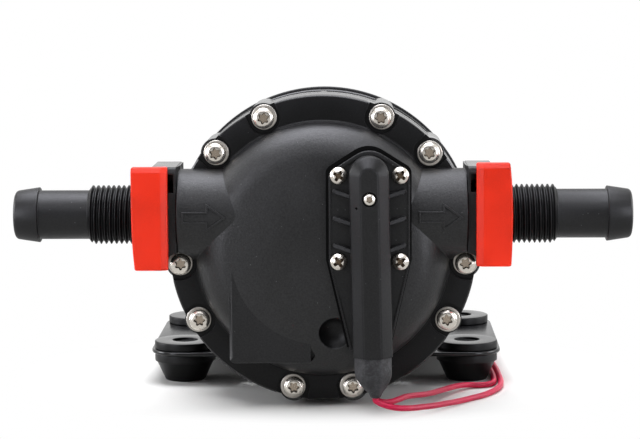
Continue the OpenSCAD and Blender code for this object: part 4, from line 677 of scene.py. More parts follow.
lipTop = s["flangeT"] + s["lipH"]
rimLow = s["flangeT"] - s["chamfer"]
outline = domeArc(0) + [
    (s["domeR"], lipTop + 0.2), (s["lipR"] - s["soft"], lipTop), (s["lipR"], lipTop - s["soft"]),
    (s["lipR"], s["flangeT"]), (s["flangeR"] - s["chamfer"], s["flangeT"]),
    (s["flangeR"] - s["soft"], rimLow + 0.4), (s["flangeR"], rimLow), (s["flangeR"], 0), (s["plateR"], 0),
    (s["plateR"], s["plateT"]), (s["domeR"] - s["wall"], s["plateT"])] + domeArc(s["wall"])[::-1]
pumpHead = lathe("pumpHead", outline, sides=160, closed=False)

bosses, pockets = [], []
pocketRound = s["pocketR"] - 0.1
pocketLine = arcCorners([(-s["pocketR"], s["pocketOut"], 0), (-s["pocketR"], -s["pocketR"], pocketRound),
                         (s["pocketR"], -s["pocketR"], pocketRound), (s["pocketR"], s["pocketOut"], 0)], 16)
for angle, x, y in screwPlaces():
    there = turned(-angle, x, y)
    bosses.append(moved(rod("boss", s["bossR"], 0.02, s["pocketZ"] - 0.02, 48), there))
    pockets.append(moved(plate("pocket", pocketLine, s["pocketZ"], s["flangeT"] + 2), there))
combine(pumpHead, joined("bosses", bosses), "UNION")
combine(pumpHead, joined("pockets", pockets), "DIFFERENCE")

# Port stubs with the guides of the slide clips, cut open for the fittings and the legs of the clips
atPort = shifted(0, p["up"])
stubStretch = atPort @ Matrix.Scale(p["stubTall"], 4, (0, 1, 0)) @ atPort.inverted()
up, h, g, c = p["up"], p["guideH"], p["guideTop"], p["guideCorner"]
cutters = []
for side in (-1, 1):
    stub = lathe("stub", [(tiny, p["stubFrom"]), (p["stubR"], p["stubFrom"]),
                          (p["stubR"], p["stubEnd"] - p["stubBevel"]),
                          (p["stubR"] - p["stubBevel"], p["stubEnd"]), (p["neckR"], p["stubEnd"]),
                          (p["neckR"], p["neckEnd"]), (tiny, p["neckEnd"])], sides=128, closed=False)
    editAll(moved(stub, stubStretch @ alongPort(1)))
    bpy.ops.mesh.bisect(plane_co=(0, 0, p["back"]), plane_no=(0, 0, 1), clear_inner=True, use_fill=True)
    mode("OBJECT")
    guide = plate("guide", [(p["guideIn"], up - h), (p["guideEnd"] - c, up - h), (p["guideEnd"], up - h + c),
                            (p["guideEnd"], up + g - c), (p["guideEnd"] - c, up + g), (p["guideIn"], up + g)],
                  p["back"], p["guideFront"])
    softenEdges(guide, p["guideChamfer"], 2, lambda u, v: min(u.z, v.z) > p["guideFront"] - 0.1
                and abs(u.y - v.y) < 0.1 and abs(u.y - up) > h - 0.1)
    combine(stub, guide, "UNION")
    lug = plate("lug", [(p["lugIn"], p["back"]), (p["guideIn"] + 1, p["back"]),
                        (p["guideIn"] + 1, p["guideFront"] - 2.2),
                        (p["guideIn"] + 0.1, p["guideFront"] - 2.4), (p["lugIn"], p["lugFront"])],
                0.2 - up - g, h - up - 0.2)
    combine(stub, moved(lug, standing), "UNION")
    if side < 0:
        moved(stub, mirrorX)
    combine(pumpHead, tidyMesh(stub), "UNION")
    there = alongPort(side)
    cutters.append(moved(rod("socket", p["socketR"], p["socketFrom"], p["guideEnd"] + 2, 96), there))
    cutters.append(moved(rod("duct", p["ductR"], p["stubFrom"] - 2, p["socketFrom"] + 1, 64), there))
    for lift in (-1, 1):
        ends = sorted((up + lift * p["slotIn"], up + lift * p["slotOut"]))
        sides = sorted((side * p["slotFrom"][lift], side * p["slotTo"]))
        cutters.append(box("legSlot", (sides[0], ends[0], p["slotBack"]),
                           (sides[1], ends[1], p["guideFront"] + 3)))

# Flat block on the dome, with a shallow bite in its right side
block = plate("block", arcCorners([(b["left"], b["sideTop"], 0), (b["left"], b["low"], b["corner"]),
                                   (b["right"], b["low"], b["rightRound"]), (b["right"], b["endTop"], 0)]),
              b["base"], b["top"])


def onBlockTop(u, v):
    return min(u.z, v.z) > b["top"] - 0.1


def bitePoint(n, bulge):
    return b["right"] + bulge * math.sin(math.pi * n / 8), b["low"] + b["biteUp"] + b["biteH"] * n / 8


softenEdges(block, b["strip"], 1, lambda u, v: onBlockTop(u, v) and max(u.x, v.x) < b["left"] + 0.1)
softenEdges(block, b["edge"], 3, lambda u, v: onBlockTop(u, v) and max(u.y, v.y) < b["low"] + 3
            and max(u.x, v.x) > b["left"] + 1.2)
combine(pumpHead, block, "UNION")
bite = [bitePoint(n, b["biteOut"]) for n in range(9)] + [bitePoint(n, b["biteIn"]) for n in range(7, 0, -1)]
combine(pumpHead, plate("bite", bite, b["top"] - b["biteDeep"], b["top"] + 1), "DIFFERENCE")
seat = plate("seat", coverOutline(switchSet["seatInset"]), switchSet["seatBase"], switchSet["seat"])
combine(pumpHead, moved(seat, shifted(switchSet["x"], 0)), "UNION")

for angle, x, y in screwPlaces():
    there = turned(-angle, x, y)
    cutters.append(moved(rod("spotface", s["spotR"], s["pocketZ"] + 0.01, s["spotTop"], 48), there))
    cutters.append(moved(rod("screwHole", s["holeR"], -1, s["pocketZ"] + 1, 24), there))

# Round recess: part of a ball, sunk square to the dome
ballR = (d["rimR"] ** 2 + d["depth"] ** 2) / (2 * d["depth"])
bowl = [(ballR * math.sin(a), ballR - d["depth"] - ballR * math.cos(a))
        for a in [math.asin(d["rimR"] / ballR) * k / 12 for k in range(13)]]
bowl[0] = (tiny, -d["depth"])
flare = [(bowl[-1][0] + d["lip"] * k / 5, bowl[-1][1] + d["lipRise"] * (k / 5) ** 0.5) for k in range(1, 6)]
dimple = lathe("dimple", bowl + flare + [(flare[-1][0], d["open"]), (tiny, d["open"])], sides=64,
               closed=False)
surfaceZ = crownZ + math.sqrt(s["crownR"] ** 2 - d["x"] ** 2 - d["y"] ** 2)
lean = math.atan2(math.hypot(d["x"], d["y"]), s["crownR"])
tilt = Matrix.Rotation(lean, 4, Vector((-d["y"], d["x"], 0)))
cutters.append(moved(dimple, shifted(d["x"], d["y"], surfaceZ) @ tilt))
for cutter in cutters:  # one by one, because some of them overlap
    combine(pumpHead, tidyMesh(cutter), "DIFFERENCE")
finishPiece(pumpHead, headNylon, "pump_body", ["pump_head"], smooth=30)

# The flange, its pockets and the dome's lip take a darker nylon, the flange's outer rim a glossier one; the
# ends of the stubs, the block, its left strip and the recess are painted shade with darker copies of the
# dome's nylon
for face, at, way in facesOf(pumpHead, flangeAndShadeNylon, edgeNylon, blockShadeNylon):
    r = math.hypot(at.x, at.y)
    inBlock = abs(at.z - b["top"]) < 0.02 and at.x < b["right"] + 0.1 and at.y < b["sideTop"]
    onStrip = abs(at.x - b["left"]) < b["strip"] + 0.05 and at.y < b["sideTop"] and at.z > domeZ(r) + 0.03
    inRecess = math.hypot(at.x - d["x"], at.y - d["y"]) < d["rimR"] and at.z < domeZ(r) - 0.3
    if r > s["lipR"] + 0.1 and at.z < s["flangeT"] + 0.2:
        face.material_index = 2 if r > s["flangeR"] - 0.45 else 1
    # Painted shade on the ends of the stubs and guides, which also takes away the red clips' reflection there
    elif abs(at.x) > p["stubEnd"] - 0.4:
        face.material_index = 1 if abs(way.x) > 0.5 else 3
        face.use_smooth = False
    elif r > s["domeR"] - 0.1 and at.z < lipTop + 0.3:
        face.material_index = 1
    # Painted shade in the recess and on the block's left strip; the block's face is painted darker than the
    # dome
    elif inRecess or inBlock or onStrip:
        face.material_index = 3 if inBlock else 1


def onCrease(v):  # points where the stubs and the flat block run into the dome
    onDome = abs(v.z - domeZ(math.hypot(v.x, v.y))) < 0.06
    stubR = math.hypot((v.y - p["up"]) / p["stubTall"], v.z - p["forward"])
    onStub = abs(stubR - p["stubR"]) < 0.04 and abs(v.x) < p["stubEnd"]
    onBlock = abs(v.z - b["top"]) < 0.02 and v.x < b["right"] + 0.1 and v.y < b["sideTop"] + 1
    return onDome and (onStub or onBlock)


toPump = pumpFrame.inverted()
creased = [onCrease(toPump @ v.co) for v in pumpHead.data.vertices]
for edge in pumpHead.data.edges:  # keeps these lines crisp
    if all(creased[i] for i in edge.vertices):
        edge.use_edge_sharp = True
print("pump head modelled,", len(pumpHead.data.polygons), "faces")

# Thin raised flow arrows on the port stubs
arrowSet = {"middle": 41.2, "lift": 0.3, "length": 14.5, "width": 8.6, "line": 0.65, "rise": 0.55,
            "sunk": 0.4, "shaft": 0.42, "head": 0.42, "shell": (30, 54), "outer": (20, 32), "inner": (10, 40)}
a = arrowSet


def arrowLine(grow):  # the arrow's outline, grown on all sides
    half, x = a["width"] / 2, a["length"] * (0.5 - a["head"])
    shaft, end = half * a["shaft"], a["length"] / 2
    upper = [(x - grow, half + 2 * grow), (x - grow, shaft + grow), (-end - grow, shaft + grow)]
    return [(u, -v) for u, v in upper[::-1]] + [(end + 2 * grow, 0)] + upper


arrows = []
for side in (-1, 1):
    arrow = plate("arrow", arrowLine(a["line"] / 2), *a["outer"])
    combine(arrow, plate("inside", arrowLine(-a["line"] / 2), *a["inner"]), "DIFFERENCE")
    moved(arrow, shifted(side * a["middle"], p["up"] + a["lift"]))
    outerR, innerR = p["stubR"] + a["rise"], p["stubR"] - a["sunk"]
    start, stop = a["shell"]
    shell = lathe("shell", [(outerR, start), (outerR, stop), (innerR, stop), (innerR, start)], sides=128)
    arrows.append(combine(arrow, tidyMesh(moved(shell, stubStretch @ alongPort(side))), "INTERSECT"))
finishPiece(joined("flowArrows", arrows), headNylon, "pump_body")
print("flow arrows raised")


# Head screws: pan heads with a six-lobe socket, on plain washers that sit a little off centre
screwSet = {"shankR": 2, "shankEnd": -10, "headR": 3.7, "sideH": 1.75, "flatR": 2.6, "headH": 2.5,
            "crown": 0.05, "starR": 1.74, "lobe": 0.32, "lobes": 6, "starSteps": 72, "socket": 1.5,
            "socketR": 2.3, "washerR": 4.5, "washerHole": 2.3, "washerT": 0.8, "drift": 0.35, "footR": 4}
q = screwSet
headOutline = arcCorners([(q["shankR"], q["shankEnd"], 0), (q["shankR"], 0, 0), (q["headR"], 0, 0.15),
                          (q["headR"], q["sideH"], 0.9), (q["flatR"], q["headH"], 1.6),
                          (tiny, q["headH"] + q["crown"], 0)], 6)
starScrew = lathe("starScrew", [(tiny, q["shankEnd"])] + headOutline, sides=64, closed=False)
star = []
for k in range(q["starSteps"]):
    angle = math.tau * k / q["starSteps"]
    r = q["starR"] + q["lobe"] * math.cos(q["lobes"] * angle)
    star.append((r * math.cos(angle), r * math.sin(angle)))
socketLevels = ((0.86, q["headH"] - q["socket"]), (1, q["headH"] - 0.3), (1.04, q["headH"] + 0.3))
socket = loft("socket", [[(x * wide, y * wide, z) for x, y in star] for wide, z in socketLevels])
combine(starScrew, socket, "DIFFERENCE")
washer = lathe("washer", arcCorners([(q["washerHole"], 0, 0.1), (q["washerR"], 0, 0.15),
                                     (q["washerR"], q["washerT"], 0.3),
                                     (q["washerHole"], q["washerT"], 0.15)], 4), sides=64)
seatZ = s["pocketZ"] + q["washerT"]
screws, washers, places = [], [], []
for angle, x, y in screwPlaces():
    places.append((x, y))
    screws.append(copied(starScrew, "headScrew", turned(random.uniform(0, 60), x, y, seatZ)))
    drift = random.uniform(0, math.tau)
    washers.append(copied(washer, "headWasher", shifted(x + q["drift"] * math.cos(drift),
                                                        y + q["drift"] * math.sin(drift), s["pocketZ"])))
bpy.data.objects.remove(starScrew)
bpy.data.objects.remove(washer)
headScrews = finishPiece(joined("headScrews", screws), stainless, "pump_body", ["head_screws"])
headTop = seatZ + q["headH"]
bottom = headTop - q["socket"]
# Painted shade: dark brown round the foot of each head on its washer and on the star sockets' walls, a darker
# steel on their floors
paintSocketShade(headScrews, places, q["footR"], seatZ - 0.1, seatZ + 0.5, 0.9)
paintSocketShade(headScrews, places, q["socketR"], bottom + 0.1, headTop + 0.1, 0.85)
paintSocketShade(headScrews, places, q["socketR"], bottom - 0.1, bottom + 0.1, 1.1, socketSteel)
finishPiece(joined("headWashers", washers), washerSteel, "pump_body", ["head_washers"])
print("head screws and washers set")


# Hose fittings: spigot, collar, half-inch pipe thread, smooth tube and one hose barb
fitSet = {"bore": 6.5, "spigotIn": 46.5, "spigotR": 10.2, "grooveR": 8.8, "ringFrom": 48.3, "ringTo": 50.3,
          "clipFrom": 55.2, "clipTo": 60.2, "collarFrom": 62.3, "collarR": 12.2, "threadFrom": 66.3,
          "threadTo": 82.3, "coreDrop": 0.15, "crestR": 10.48, "crestDrop": 0.08, "rootR": 9.32,
          "pitch": 1.814, "steps": 96, "tubeR": 8.65, "tubeTo": 100.1, "barbR": 9.8, "tipR": 8.5,
          "end": 108.8, "flank": ((0, 0), (0, 0.1), (1, 0.44), (1, 0.56), (0, 0.9), (0, 1))}
f = fitSet
coreR, crestR = f["rootR"] - f["coreDrop"], f["crestR"] - f["crestDrop"]
bodyOutline = arcCorners([(f["bore"], f["spigotIn"], 0.4), (f["spigotR"], f["spigotIn"], 0.8),
                          (f["spigotR"], f["ringFrom"], 0), (f["grooveR"], f["ringFrom"], 0),
                          (f["grooveR"], f["ringTo"], 0), (f["spigotR"], f["ringTo"], 0),
                          (f["spigotR"], f["clipFrom"], 0), (f["grooveR"], f["clipFrom"], 0),
                          (f["grooveR"], f["clipTo"], 0), (f["spigotR"], f["clipTo"], 0),
                          (f["spigotR"], f["collarFrom"], 0), (f["collarR"], f["collarFrom"], 0.4),
                          (f["collarR"], f["threadFrom"], 0.5), (coreR, f["threadFrom"], 0),
                          (coreR, f["threadTo"], 0), (f["tubeR"], f["threadTo"] + 0.3, 0.2),
                          (f["tubeR"], f["tubeTo"], 0.15), (f["barbR"], f["tubeTo"] + 0.1, 0.25),
                          (f["tipR"], f["end"], 1.5), (f["bore"], f["end"], 0.5)], 5)
fittingBody = lathe("fittingBody", bodyOutline, sides=96)
deselect()
bpy.ops.mesh.primitive_circle_add(vertices=len(f["flank"]), radius=1)
thread = named("thread")
for vertex, (high, share) in zip(thread.data.vertices, f["flank"]):
    vertex.co = (crestR if high else f["rootR"], 0, f["threadFrom"] - 1.5 * f["pitch"] + share * f["pitch"])
editEdges(thread, lambda u, v: abs(u.z - v.z) > 0.9 * f["pitch"])
bpy.ops.mesh.delete(type="EDGE")
mode("OBJECT")
wind = thread.modifiers.new("wind", "SCREW")
wind.screw_offset = f["pitch"]
wind.iterations = math.ceil((f["threadTo"] - f["threadFrom"]) / f["pitch"]) + 2
wind.steps = wind.render_steps = f["steps"]
wind.use_merge_vertices, wind.merge_threshold = True, 0.001
bpy.ops.object.modifier_apply(modifier=wind.name)
editAll(tidyMesh(thread))
bpy.ops.mesh.fill_holes(sides=0)
mode("OBJECT")
tidyMesh(thread)
ends = lathe("ends", [(f["bore"] + 1, f["threadFrom"] - 0.2), (f["crestR"] + 1, f["threadFrom"] - 0.2),
                      (f["crestR"] + 1, f["threadTo"] - 1.8), (f["rootR"], f["threadTo"] - 0.1),
                      (f["bore"] + 1, f["threadTo"] - 0.1)])
combine(thread, ends, "INTERSECT")
combine(fittingBody, thread, "UNION")
for side, body, node, name in ((-1, "inlet_hose_fitting", "inlet_fitting", "inletFitting"),
                               (1, "outlet_hose_fitting", "outlet_fitting", "outletFitting")):
    fitting = tidyMesh(copied(fittingBody, name, alongPort(side)))
    finishPiece(fitting, fittingAcetal, body, [node], smooth=35)
    for face, at, way in facesOf(fitting, flangeAndShadeNylon):  # little light gets down to the roots of the thread
        r = math.hypot(at.y - p["up"], at.z - p["forward"])
        if f["threadFrom"] < abs(at.x) < f["threadTo"] and r < f["crestR"] - 0.3:
            face.material_index = 1
bpy.data.objects.remove(fittingBody)
print("hose fittings turned")


# Slide clips: a bevelled red bridge in front with two legs that lock the fitting
clipSet = {"in": 53.6, "out": 66.2, "half": 18, "back": 25.3, "front": 29.3, "slant": (2.5, 1.1),
           "round": 0.5, "legIn": 9.1, "legT": {-1: 3, 1: 5.8}, "legFrom": 55.5, "legTo": 59.9, "legTip": 4.3,
           "legRound": 0.6, "narrow": {-1: (1, 0), 1: (0.5, 1)}, "lift": {-1: 0, 1: 1.2},
           "levels": ((-18, 0.5, 0.5), (-17.85, 0.2, 0.22), (-17.5, 0, 0), (-12, 0, 0), (-6, 0, 0), (0, 0, 0),
                      (6, 0, 0), (12, 0, 0), (16.2, 0, 0), (17.5, 0, 0.95), (17.85, 0.2, 1.25),
                      (18, 0.5, 1.6))}
c = clipSet
for side, body, node, name in ((-1, "inlet_slide_clip", "inlet_clip", "inletClip"),
                               (1, "outlet_slide_clip", "outlet_clip", "outletClip")):
    rings = []
    for y, inset, drop in c["levels"]:  # height, how far the sides draw in, how far the front draws back
        share = y / c["half"]
        out = c["out"] - inset - c["narrow"][side][0 if share < 0 else 1] * share ** 2
        front, into = c["front"] - drop, c["in"] + inset
        section = arcCorners([(into, c["back"], 0.2), (into, front - c["slant"][1], 0.25),
                              (c["in"] + c["slant"][0], front, 0.8), (out, front, c["round"]),
                              (out, c["back"], 0.2)], 4)
        rings.append([(u, up + y + c["lift"][side], v) for u, v in section])
    clip = loft("clip", rings)
    for lift in (-1, 1):
        ends = sorted((up + lift * c["legIn"], up + lift * (c["legIn"] + c["legT"][lift])))
        leg = box("leg", (c["legFrom"], ends[0], c["legTip"]), (c["legTo"], ends[1], c["back"] + 1))
        softenEdges(leg, c["legRound"], 2, lambda u, v: max(u.z, v.z) < c["legTip"] + 0.1)
        combine(clip, leg, "UNION")
    if side < 0:
        tidyMesh(moved(clip, mirrorX))
    clip.name = clip.data.name = name
    finishPiece(clip, clipAbs, body, [node], smooth=24)
print("slide clips made")


# Pressure switch: cover with a raised rim, a leaning ridge with a round head, slanted gussets
coverSet = {"low": 31, "high": 33.5, "floor": 32.95, "rim": 0.75, "rimDrop": 0.7, "trayFoot": -31.5,
            "edge": 0.3, "root": 0.4, "ridgeHalf": 6.85, "ridgeFlat": 3.1, "ridgeTop": 42.5,
            "ridgeSide": 38.5, "headY": 28, "footY": -34.5, "lean": 1.1, "wall": 1.9, "roomDrop": 0.6,
            "roomOver": 5, "gussetY": (21.8, 12.4, 3), "gussetDown": 1, "gussetT": 1.8, "gussetH": 3.4,
            "gussetTip": 0.7, "gussetLean": 17, "gussetReach": 6.4, "gussetIn": -1.5, "gussetEdge": 0.36,
            "adjusterY": 20.4, "recessR": 2.65, "sink": 1.6, "boreR": 2.15, "boreDeep": 4, "screwX": 10.6,
            "screwY": (27.9, -1.9), "padR": 2.9, "pinAt": (-4.45, 17.3), "pinR": 0.35, "pinFrom": 39.5,
            "sheet": (30.2, 30.97), "shadowLineOver": 0.8, "shadowLineShift": (-0.25, 0.75)}
k = coverSet
atSwitch = shifted(switchSet["x"], 0)
atAdjuster = shifted(0, k["adjusterY"])
leaned = atAdjuster @ turned(k["lean"]) @ atAdjuster.inverted()
base = k["floor"] - k["root"]


def stadium(r, z):  # outline of the ridge at one height: round at the head, square at the foot
    ring = [(r * math.cos(t), k["headY"] + r * math.sin(t), z) for t in [math.pi * n / 32 for n in range(33)]]
    return ring + [(-r, k["footY"], z), (r, k["footY"], z)]


def gussetTop(x):  # height of a gusset, falling from the ridge to its tip
    return k["high"] - 0.3 + max(k["gussetTip"], k["gussetH"] * (1 - max(x, 0) / k["gussetReach"]))


switchCover = plate("switchCover", coverOutline(0), k["low"], k["high"])
softenEdges(switchCover, k["edge"], 3, lambda u, v: min(u.z, v.z) > k["high"] - 0.01)
tray = plate("tray", coverOutline(k["rim"], k["trayFoot"]), k["floor"], k["high"] + 1)
combine(switchCover, moved(tray, shifted(0, -k["rimDrop"])), "DIFFERENCE")
pads = [moved(rod("pad", k["padR"], base, k["high"], 48), shifted(side * k["screwX"], y))
        for side in (-1, 1) for y in k["screwY"]]
combine(switchCover, joined("pads", pads), "UNION")
flank = arcCorners([(k["ridgeHalf"], base, 0), (k["ridgeHalf"], k["ridgeSide"], 1.6),
                    (k["ridgeFlat"], k["ridgeTop"], 1.3), (1, k["ridgeTop"], 0)], 7)[:-1]
ridge = moved(loft("ridge", [stadium(r, z) for r, z in flank]), leaned)
combine(switchCover, ridge, "UNION")
gussets = []
reach, t = k["gussetReach"], k["gussetT"] / 2
gussetFoot = arcCorners([(k["gussetIn"], -t, 0), (reach, -t, t * 0.95), (reach, t, t * 0.95),
                         (k["gussetIn"], t, 0)], 5)
for flip in (-1, 1):
    for y in k["gussetY"]:
        gusset = loft("gusset", [[(u, v, base) for u, v in gussetFoot],
                                 [(u, v, gussetTop(u)) for u, v in gussetFoot]])
        softenEdges(gusset, k["gussetEdge"], 1, lambda u, v: min(u.z, v.z) > k["floor"]
                    and max(u.x, v.x) > k["gussetIn"] + 0.1)
        turn = turned(flip * k["gussetLean"], flip * (k["ridgeHalf"] - 0.2), y - k["gussetDown"])
        gussets.append(tidyMesh(moved(gusset, turn @ Matrix.Scale(flip, 4, (1, 0, 0)))))
combine(switchCover, joined("gussets", gussets), "UNION")
for name, r, low, at in (("recess", k["recessR"], k["ridgeTop"] - k["sink"], atAdjuster),
                         ("bore", k["boreR"], k["ridgeTop"] - k["boreDeep"], atAdjuster),
                         ("pinHole", k["pinR"], k["pinFrom"], shifted(*k["pinAt"]))):
    combine(switchCover, moved(rod(name, r, low, k["ridgeTop"] + 2, 48), at), "DIFFERENCE")
for half, roof in ((k["ridgeHalf"] - k["wall"], k["ridgeSide"] - k["roomDrop"]),
                   (k["ridgeFlat"], k["ridgeTop"] - k["wall"])):  # room for what works inside
    room = box("room", (-half, k["footY"] + 2 * k["wall"], k["low"] - 1),
               (half, k["adjusterY"] + k["roomOver"], roof))
    combine(switchCover, moved(room, leaned), "DIFFERENCE")
moved(switchCover, atSwitch)
finishPiece(switchCover, coverAbs, "pump_body", ["switch_cover"], smooth=30)
# Painted shade: the tray floor in the tray's dark ABS, the gusset tops and the ridge's flanks in the darker
# nylon
for face, at, way in facesOf(switchCover, flangeAndShadeNylon, trayShadeAbs):  # tray, gusset tops and flanks of the ridge
    aside = abs(at.x - switchSet["x"])
    beside = aside > k["ridgeHalf"] + 0.05 and abs(way.z) > 0.75
    onFlank = aside < k["ridgeHalf"] + 0.4 and at.z > k["high"] + 0.5 and 0.15 < way.z < 0.94
    if beside and at.z > k["low"] + 0.5 and abs(at.z - k["high"]) > 0.02:
        face.material_index = 2 if abs(at.z - k["floor"]) < 0.05 else 1
    elif onFlank:
        face.material_index = 1

# Rubber diaphragm clamped under the cover, drawn wider than the cover and shifted up and to the left: its
# near-black edge paints the shadow line round the cover
sheet = plate("switchDiaphragm", coverOutline(-k["shadowLineOver"]), *k["sheet"])
moved(sheet, atSwitch @ shifted(*k["shadowLineShift"]))
finishPiece(sheet, shadowLineNitrile, "pump_body", ["switch_diaphragm"])

# Cross-head screws of the cover, and larger ones behind the pump that face backwards
crossSet = {"headR": 3, "headH": 2, "sideH": 0.8, "flatR": 1.7, "shankR": 1.38, "shankEnd": -8, "arm": 4.2,
            "slot": 1.25, "depth": 1.35, "wallsR": 2, "walls": (0.3, 1.72), "floorR": 1.6,
            "floor": (0.55, 0.75), "spin": 14}
backSet = {"adaptorR": 47, "adaptorZ": -30, "adaptorAngles": (36, 108, 180, 252, 324), "adaptorSize": 1.05,
           "boltR": 27.5, "boltZ": -129.6, "boltAngles": (90, 270), "boltSize": 1.16}
t = crossSet
crossScrew = lathe("crossScrew", [(tiny, t["shankEnd"])] + arcCorners([
    (t["shankR"], t["shankEnd"], 0), (t["shankR"], 0, 0), (t["headR"], 0, 0.12),
    (t["headR"], t["sideH"], 0.7), (t["flatR"], t["headH"] - 0.05, 1.6), (tiny, t["headH"], 0)], 6),
    sides=64, closed=False)
long, wide = t["arm"] / 2, t["slot"] / 2
slotCorners = ((-long, -wide), (long, -wide), (long, wide), (-long, wide))
for turn in (45, 135):
    arm = loft("arm", [[(u * grow, v * grow, z) for u, v in slotCorners]
                       for grow, z in ((0.5, t["headH"] - t["depth"]), (1.04, t["headH"] + 0.2))])
    combine(crossScrew, moved(arm, turned(turn)), "DIFFERENCE")
places = [(switchSet["x"] + side * k["screwX"], y) for side in (-1, 1) for y in k["screwY"]]
screws = [copied(crossScrew, "coverScrew", turned(random.uniform(-t["spin"], t["spin"]), x, y, k["high"]))
          for x, y in places]
switchScrews = joined("switchScrews", screws)
finishPiece(switchScrews, stainless, "pump_body", ["switch_screws"])
# Painted shade: dark brown on the walls of the cross slots, a darker brown steel on their floors
paintSocketShade(switchScrews, places, t["wallsR"], *(k["high"] + z for z in t["walls"]), 1.1)
paintSocketShade(switchScrews, places, t["floorR"], *(k["high"] + z for z in t["floor"]), 1.1, crossSteel)
for name, node, part in (("adaptorScrews", "adaptor_screws", "adaptor"),
                         ("throughBolts", "through_bolts", "bolt")):
    screws = []
    for angle in backSet[part + "Angles"]:
        r, at = backSet[part + "R"], math.radians(angle)
        behind = turned(random.uniform(0, 90), r * math.sin(at), r * math.cos(at), backSet[part + "Z"])
        screws.append(copied(crossScrew, name, behind @ Matrix.Rotation(math.pi, 4, "X")
                             @ Matrix.Scale(backSet[part + "Size"], 4)))
    finishPiece(joined(name, screws), stainless, "pump_body", [node])
bpy.data.objects.remove(crossScrew)

# Adjusting screw with a hexagon socket
adjusterSet = {"r": 2.05, "low": 40.2, "side": 42, "top": 42.35, "flatR": 1, "hexR": 1.15, "hex": (41.3, 43),
               "shadeSpan": (41.2, 42.3)}
t = adjusterSet
adjuster = lathe("adjustingScrew", [(tiny, t["low"])] + arcCorners([
    (t["r"], t["low"], 0.2), (t["r"], t["side"], 0.4), (t["flatR"], t["top"], 0.25), (tiny, t["top"], 0)], 4),
    sides=48, closed=False)
combine(adjuster, rod("hexagon", t["hexR"], *t["hex"], 6), "DIFFERENCE")
moved(adjuster, atSwitch @ atAdjuster)
finishPiece(adjuster, stainless, "adjuster", ["adjusting_screw"])
# Painted shade: the hexagon socket in the darker, browner steel
paintSocketShade(adjuster, [(switchSet["x"], k["adjusterY"])], t["hexR"] + 0.02, *t["shadeSpan"], 1.1, socketSteel)

# Soft boot: carries on the ridge's section, then draws in to an oval neck round the two wires
bootSet = {"top": -34.5, "tip": -48.5, "half": 6.4, "low": 33.9, "high": 42.1, "chamfer": 3.6, "neckX": 1.9,
           "neckR": 1.95, "neckTall": 3.1, "from": 0.42, "to": 0.93, "power": 1.6, "shut": 0.85,
           "levels": (0, 0.02, 0.1, 0.2, 0.3, 0.38, 0.44, 0.5, 0.55, 0.6, 0.65, 0.7, 0.75, 0.82,
                      0.9, 0.97, 1)}
o = bootSet
edgeZ, edgeX = o["high"] - o["chamfer"], o["half"] - o["chamfer"]
section = arcCorners([(-o["half"], o["low"], 0.8), (o["half"], o["low"], 0.8), (o["half"], edgeZ, 1.4),
                      (edgeX, o["high"], 1.6), (-edgeX, o["high"], 1.6), (-o["half"], edgeZ, 1.4)], 4)
mid = (o["low"] + o["high"]) / 2
rings = []
for share in o["levels"]:
    part = min(max((share - o["from"]) / (o["to"] - o["from"]), 0), 1)
    ease = part ** o["power"]
    y = o["top"] + (o["tip"] - o["top"]) * share
    shift = math.tan(math.radians(k["lean"])) * (k["adjusterY"] - y)
    shut = o["shut"] if share == 1 else 1
    ring = []
    for u, v in section:
        angle = math.atan2(v - mid, u)
        neckX = o["neckX"] + shut * o["neckR"] * math.cos(angle)
        neckZ = mid + shut * o["neckTall"] * math.sin(angle)
        ring.append((u + shift + (neckX - u - shift) * ease, y, v + (neckZ - v) * ease))
    rings.append(ring)
boot = moved(loft("switchBoot", rings), atSwitch)
finishPiece(boot, bootPvc, "pump_body", ["switch_boot"], smooth=50)
print("pressure switch dressed")


# Rubber feet: a top disc, a neck through the base plate, a band and a tapered block
footSet = {"x": 53.65, "y": 30, "holeR": 2.4, "bottomR": 7.5, "taperR": 10.9, "taperTop": 7.35,
           "bandLow": 7.4, "bandR": 11.5, "bandTop": 10.45, "neckR": 8, "neckTop": 12.05, "top": 15,
           "sinkR": 4.75, "sinkZ": 14,
           "places": {"foot_front_left": (-1, -1), "foot_front_right": (1, -1), "foot_rear_left": (-1, 1),
                      "foot_rear_right": (1, 1)}}
t = footSet
foot = lathe("foot", arcCorners([
    (t["holeR"], 0, 0.3), (t["bottomR"], 0, 0.6), (t["taperR"], t["taperTop"], 0.15),
    (t["bandR"], t["bandLow"], 0.12), (t["bandR"], t["bandTop"], 0.35), (t["neckR"], t["bandTop"], 0),
    (t["neckR"], t["neckTop"], 0), (t["bandR"], t["neckTop"], 0.3), (t["bandR"], t["top"], 0.45),
    (t["sinkR"], t["top"], 0.25), (t["sinkR"], t["sinkZ"], 0.2), (t["holeR"], t["sinkZ"], 0.2)], 5), sides=80)
for node, (sx, sy) in t["places"].items():
    name = "".join(word.capitalize() if i else word for i, word in enumerate(node.split("_")))
    piece = copied(foot, name, shifted(sx * t["x"], sy * t["y"]))
    finishPiece(piece, footRubber, "pump_body", [node], place=floorFrame, smooth=40)
    piece.data.materials.append(footTop)
    for face in piece.data.polygons:  # the flat top
        onTop = face.normal.z > 0.95 and face.center.z > (t["top"] - 0.1) / 1000
        face.material_index = 1 if onTop else 0
bpy.data.objects.remove(foot)
print("feet moulded")


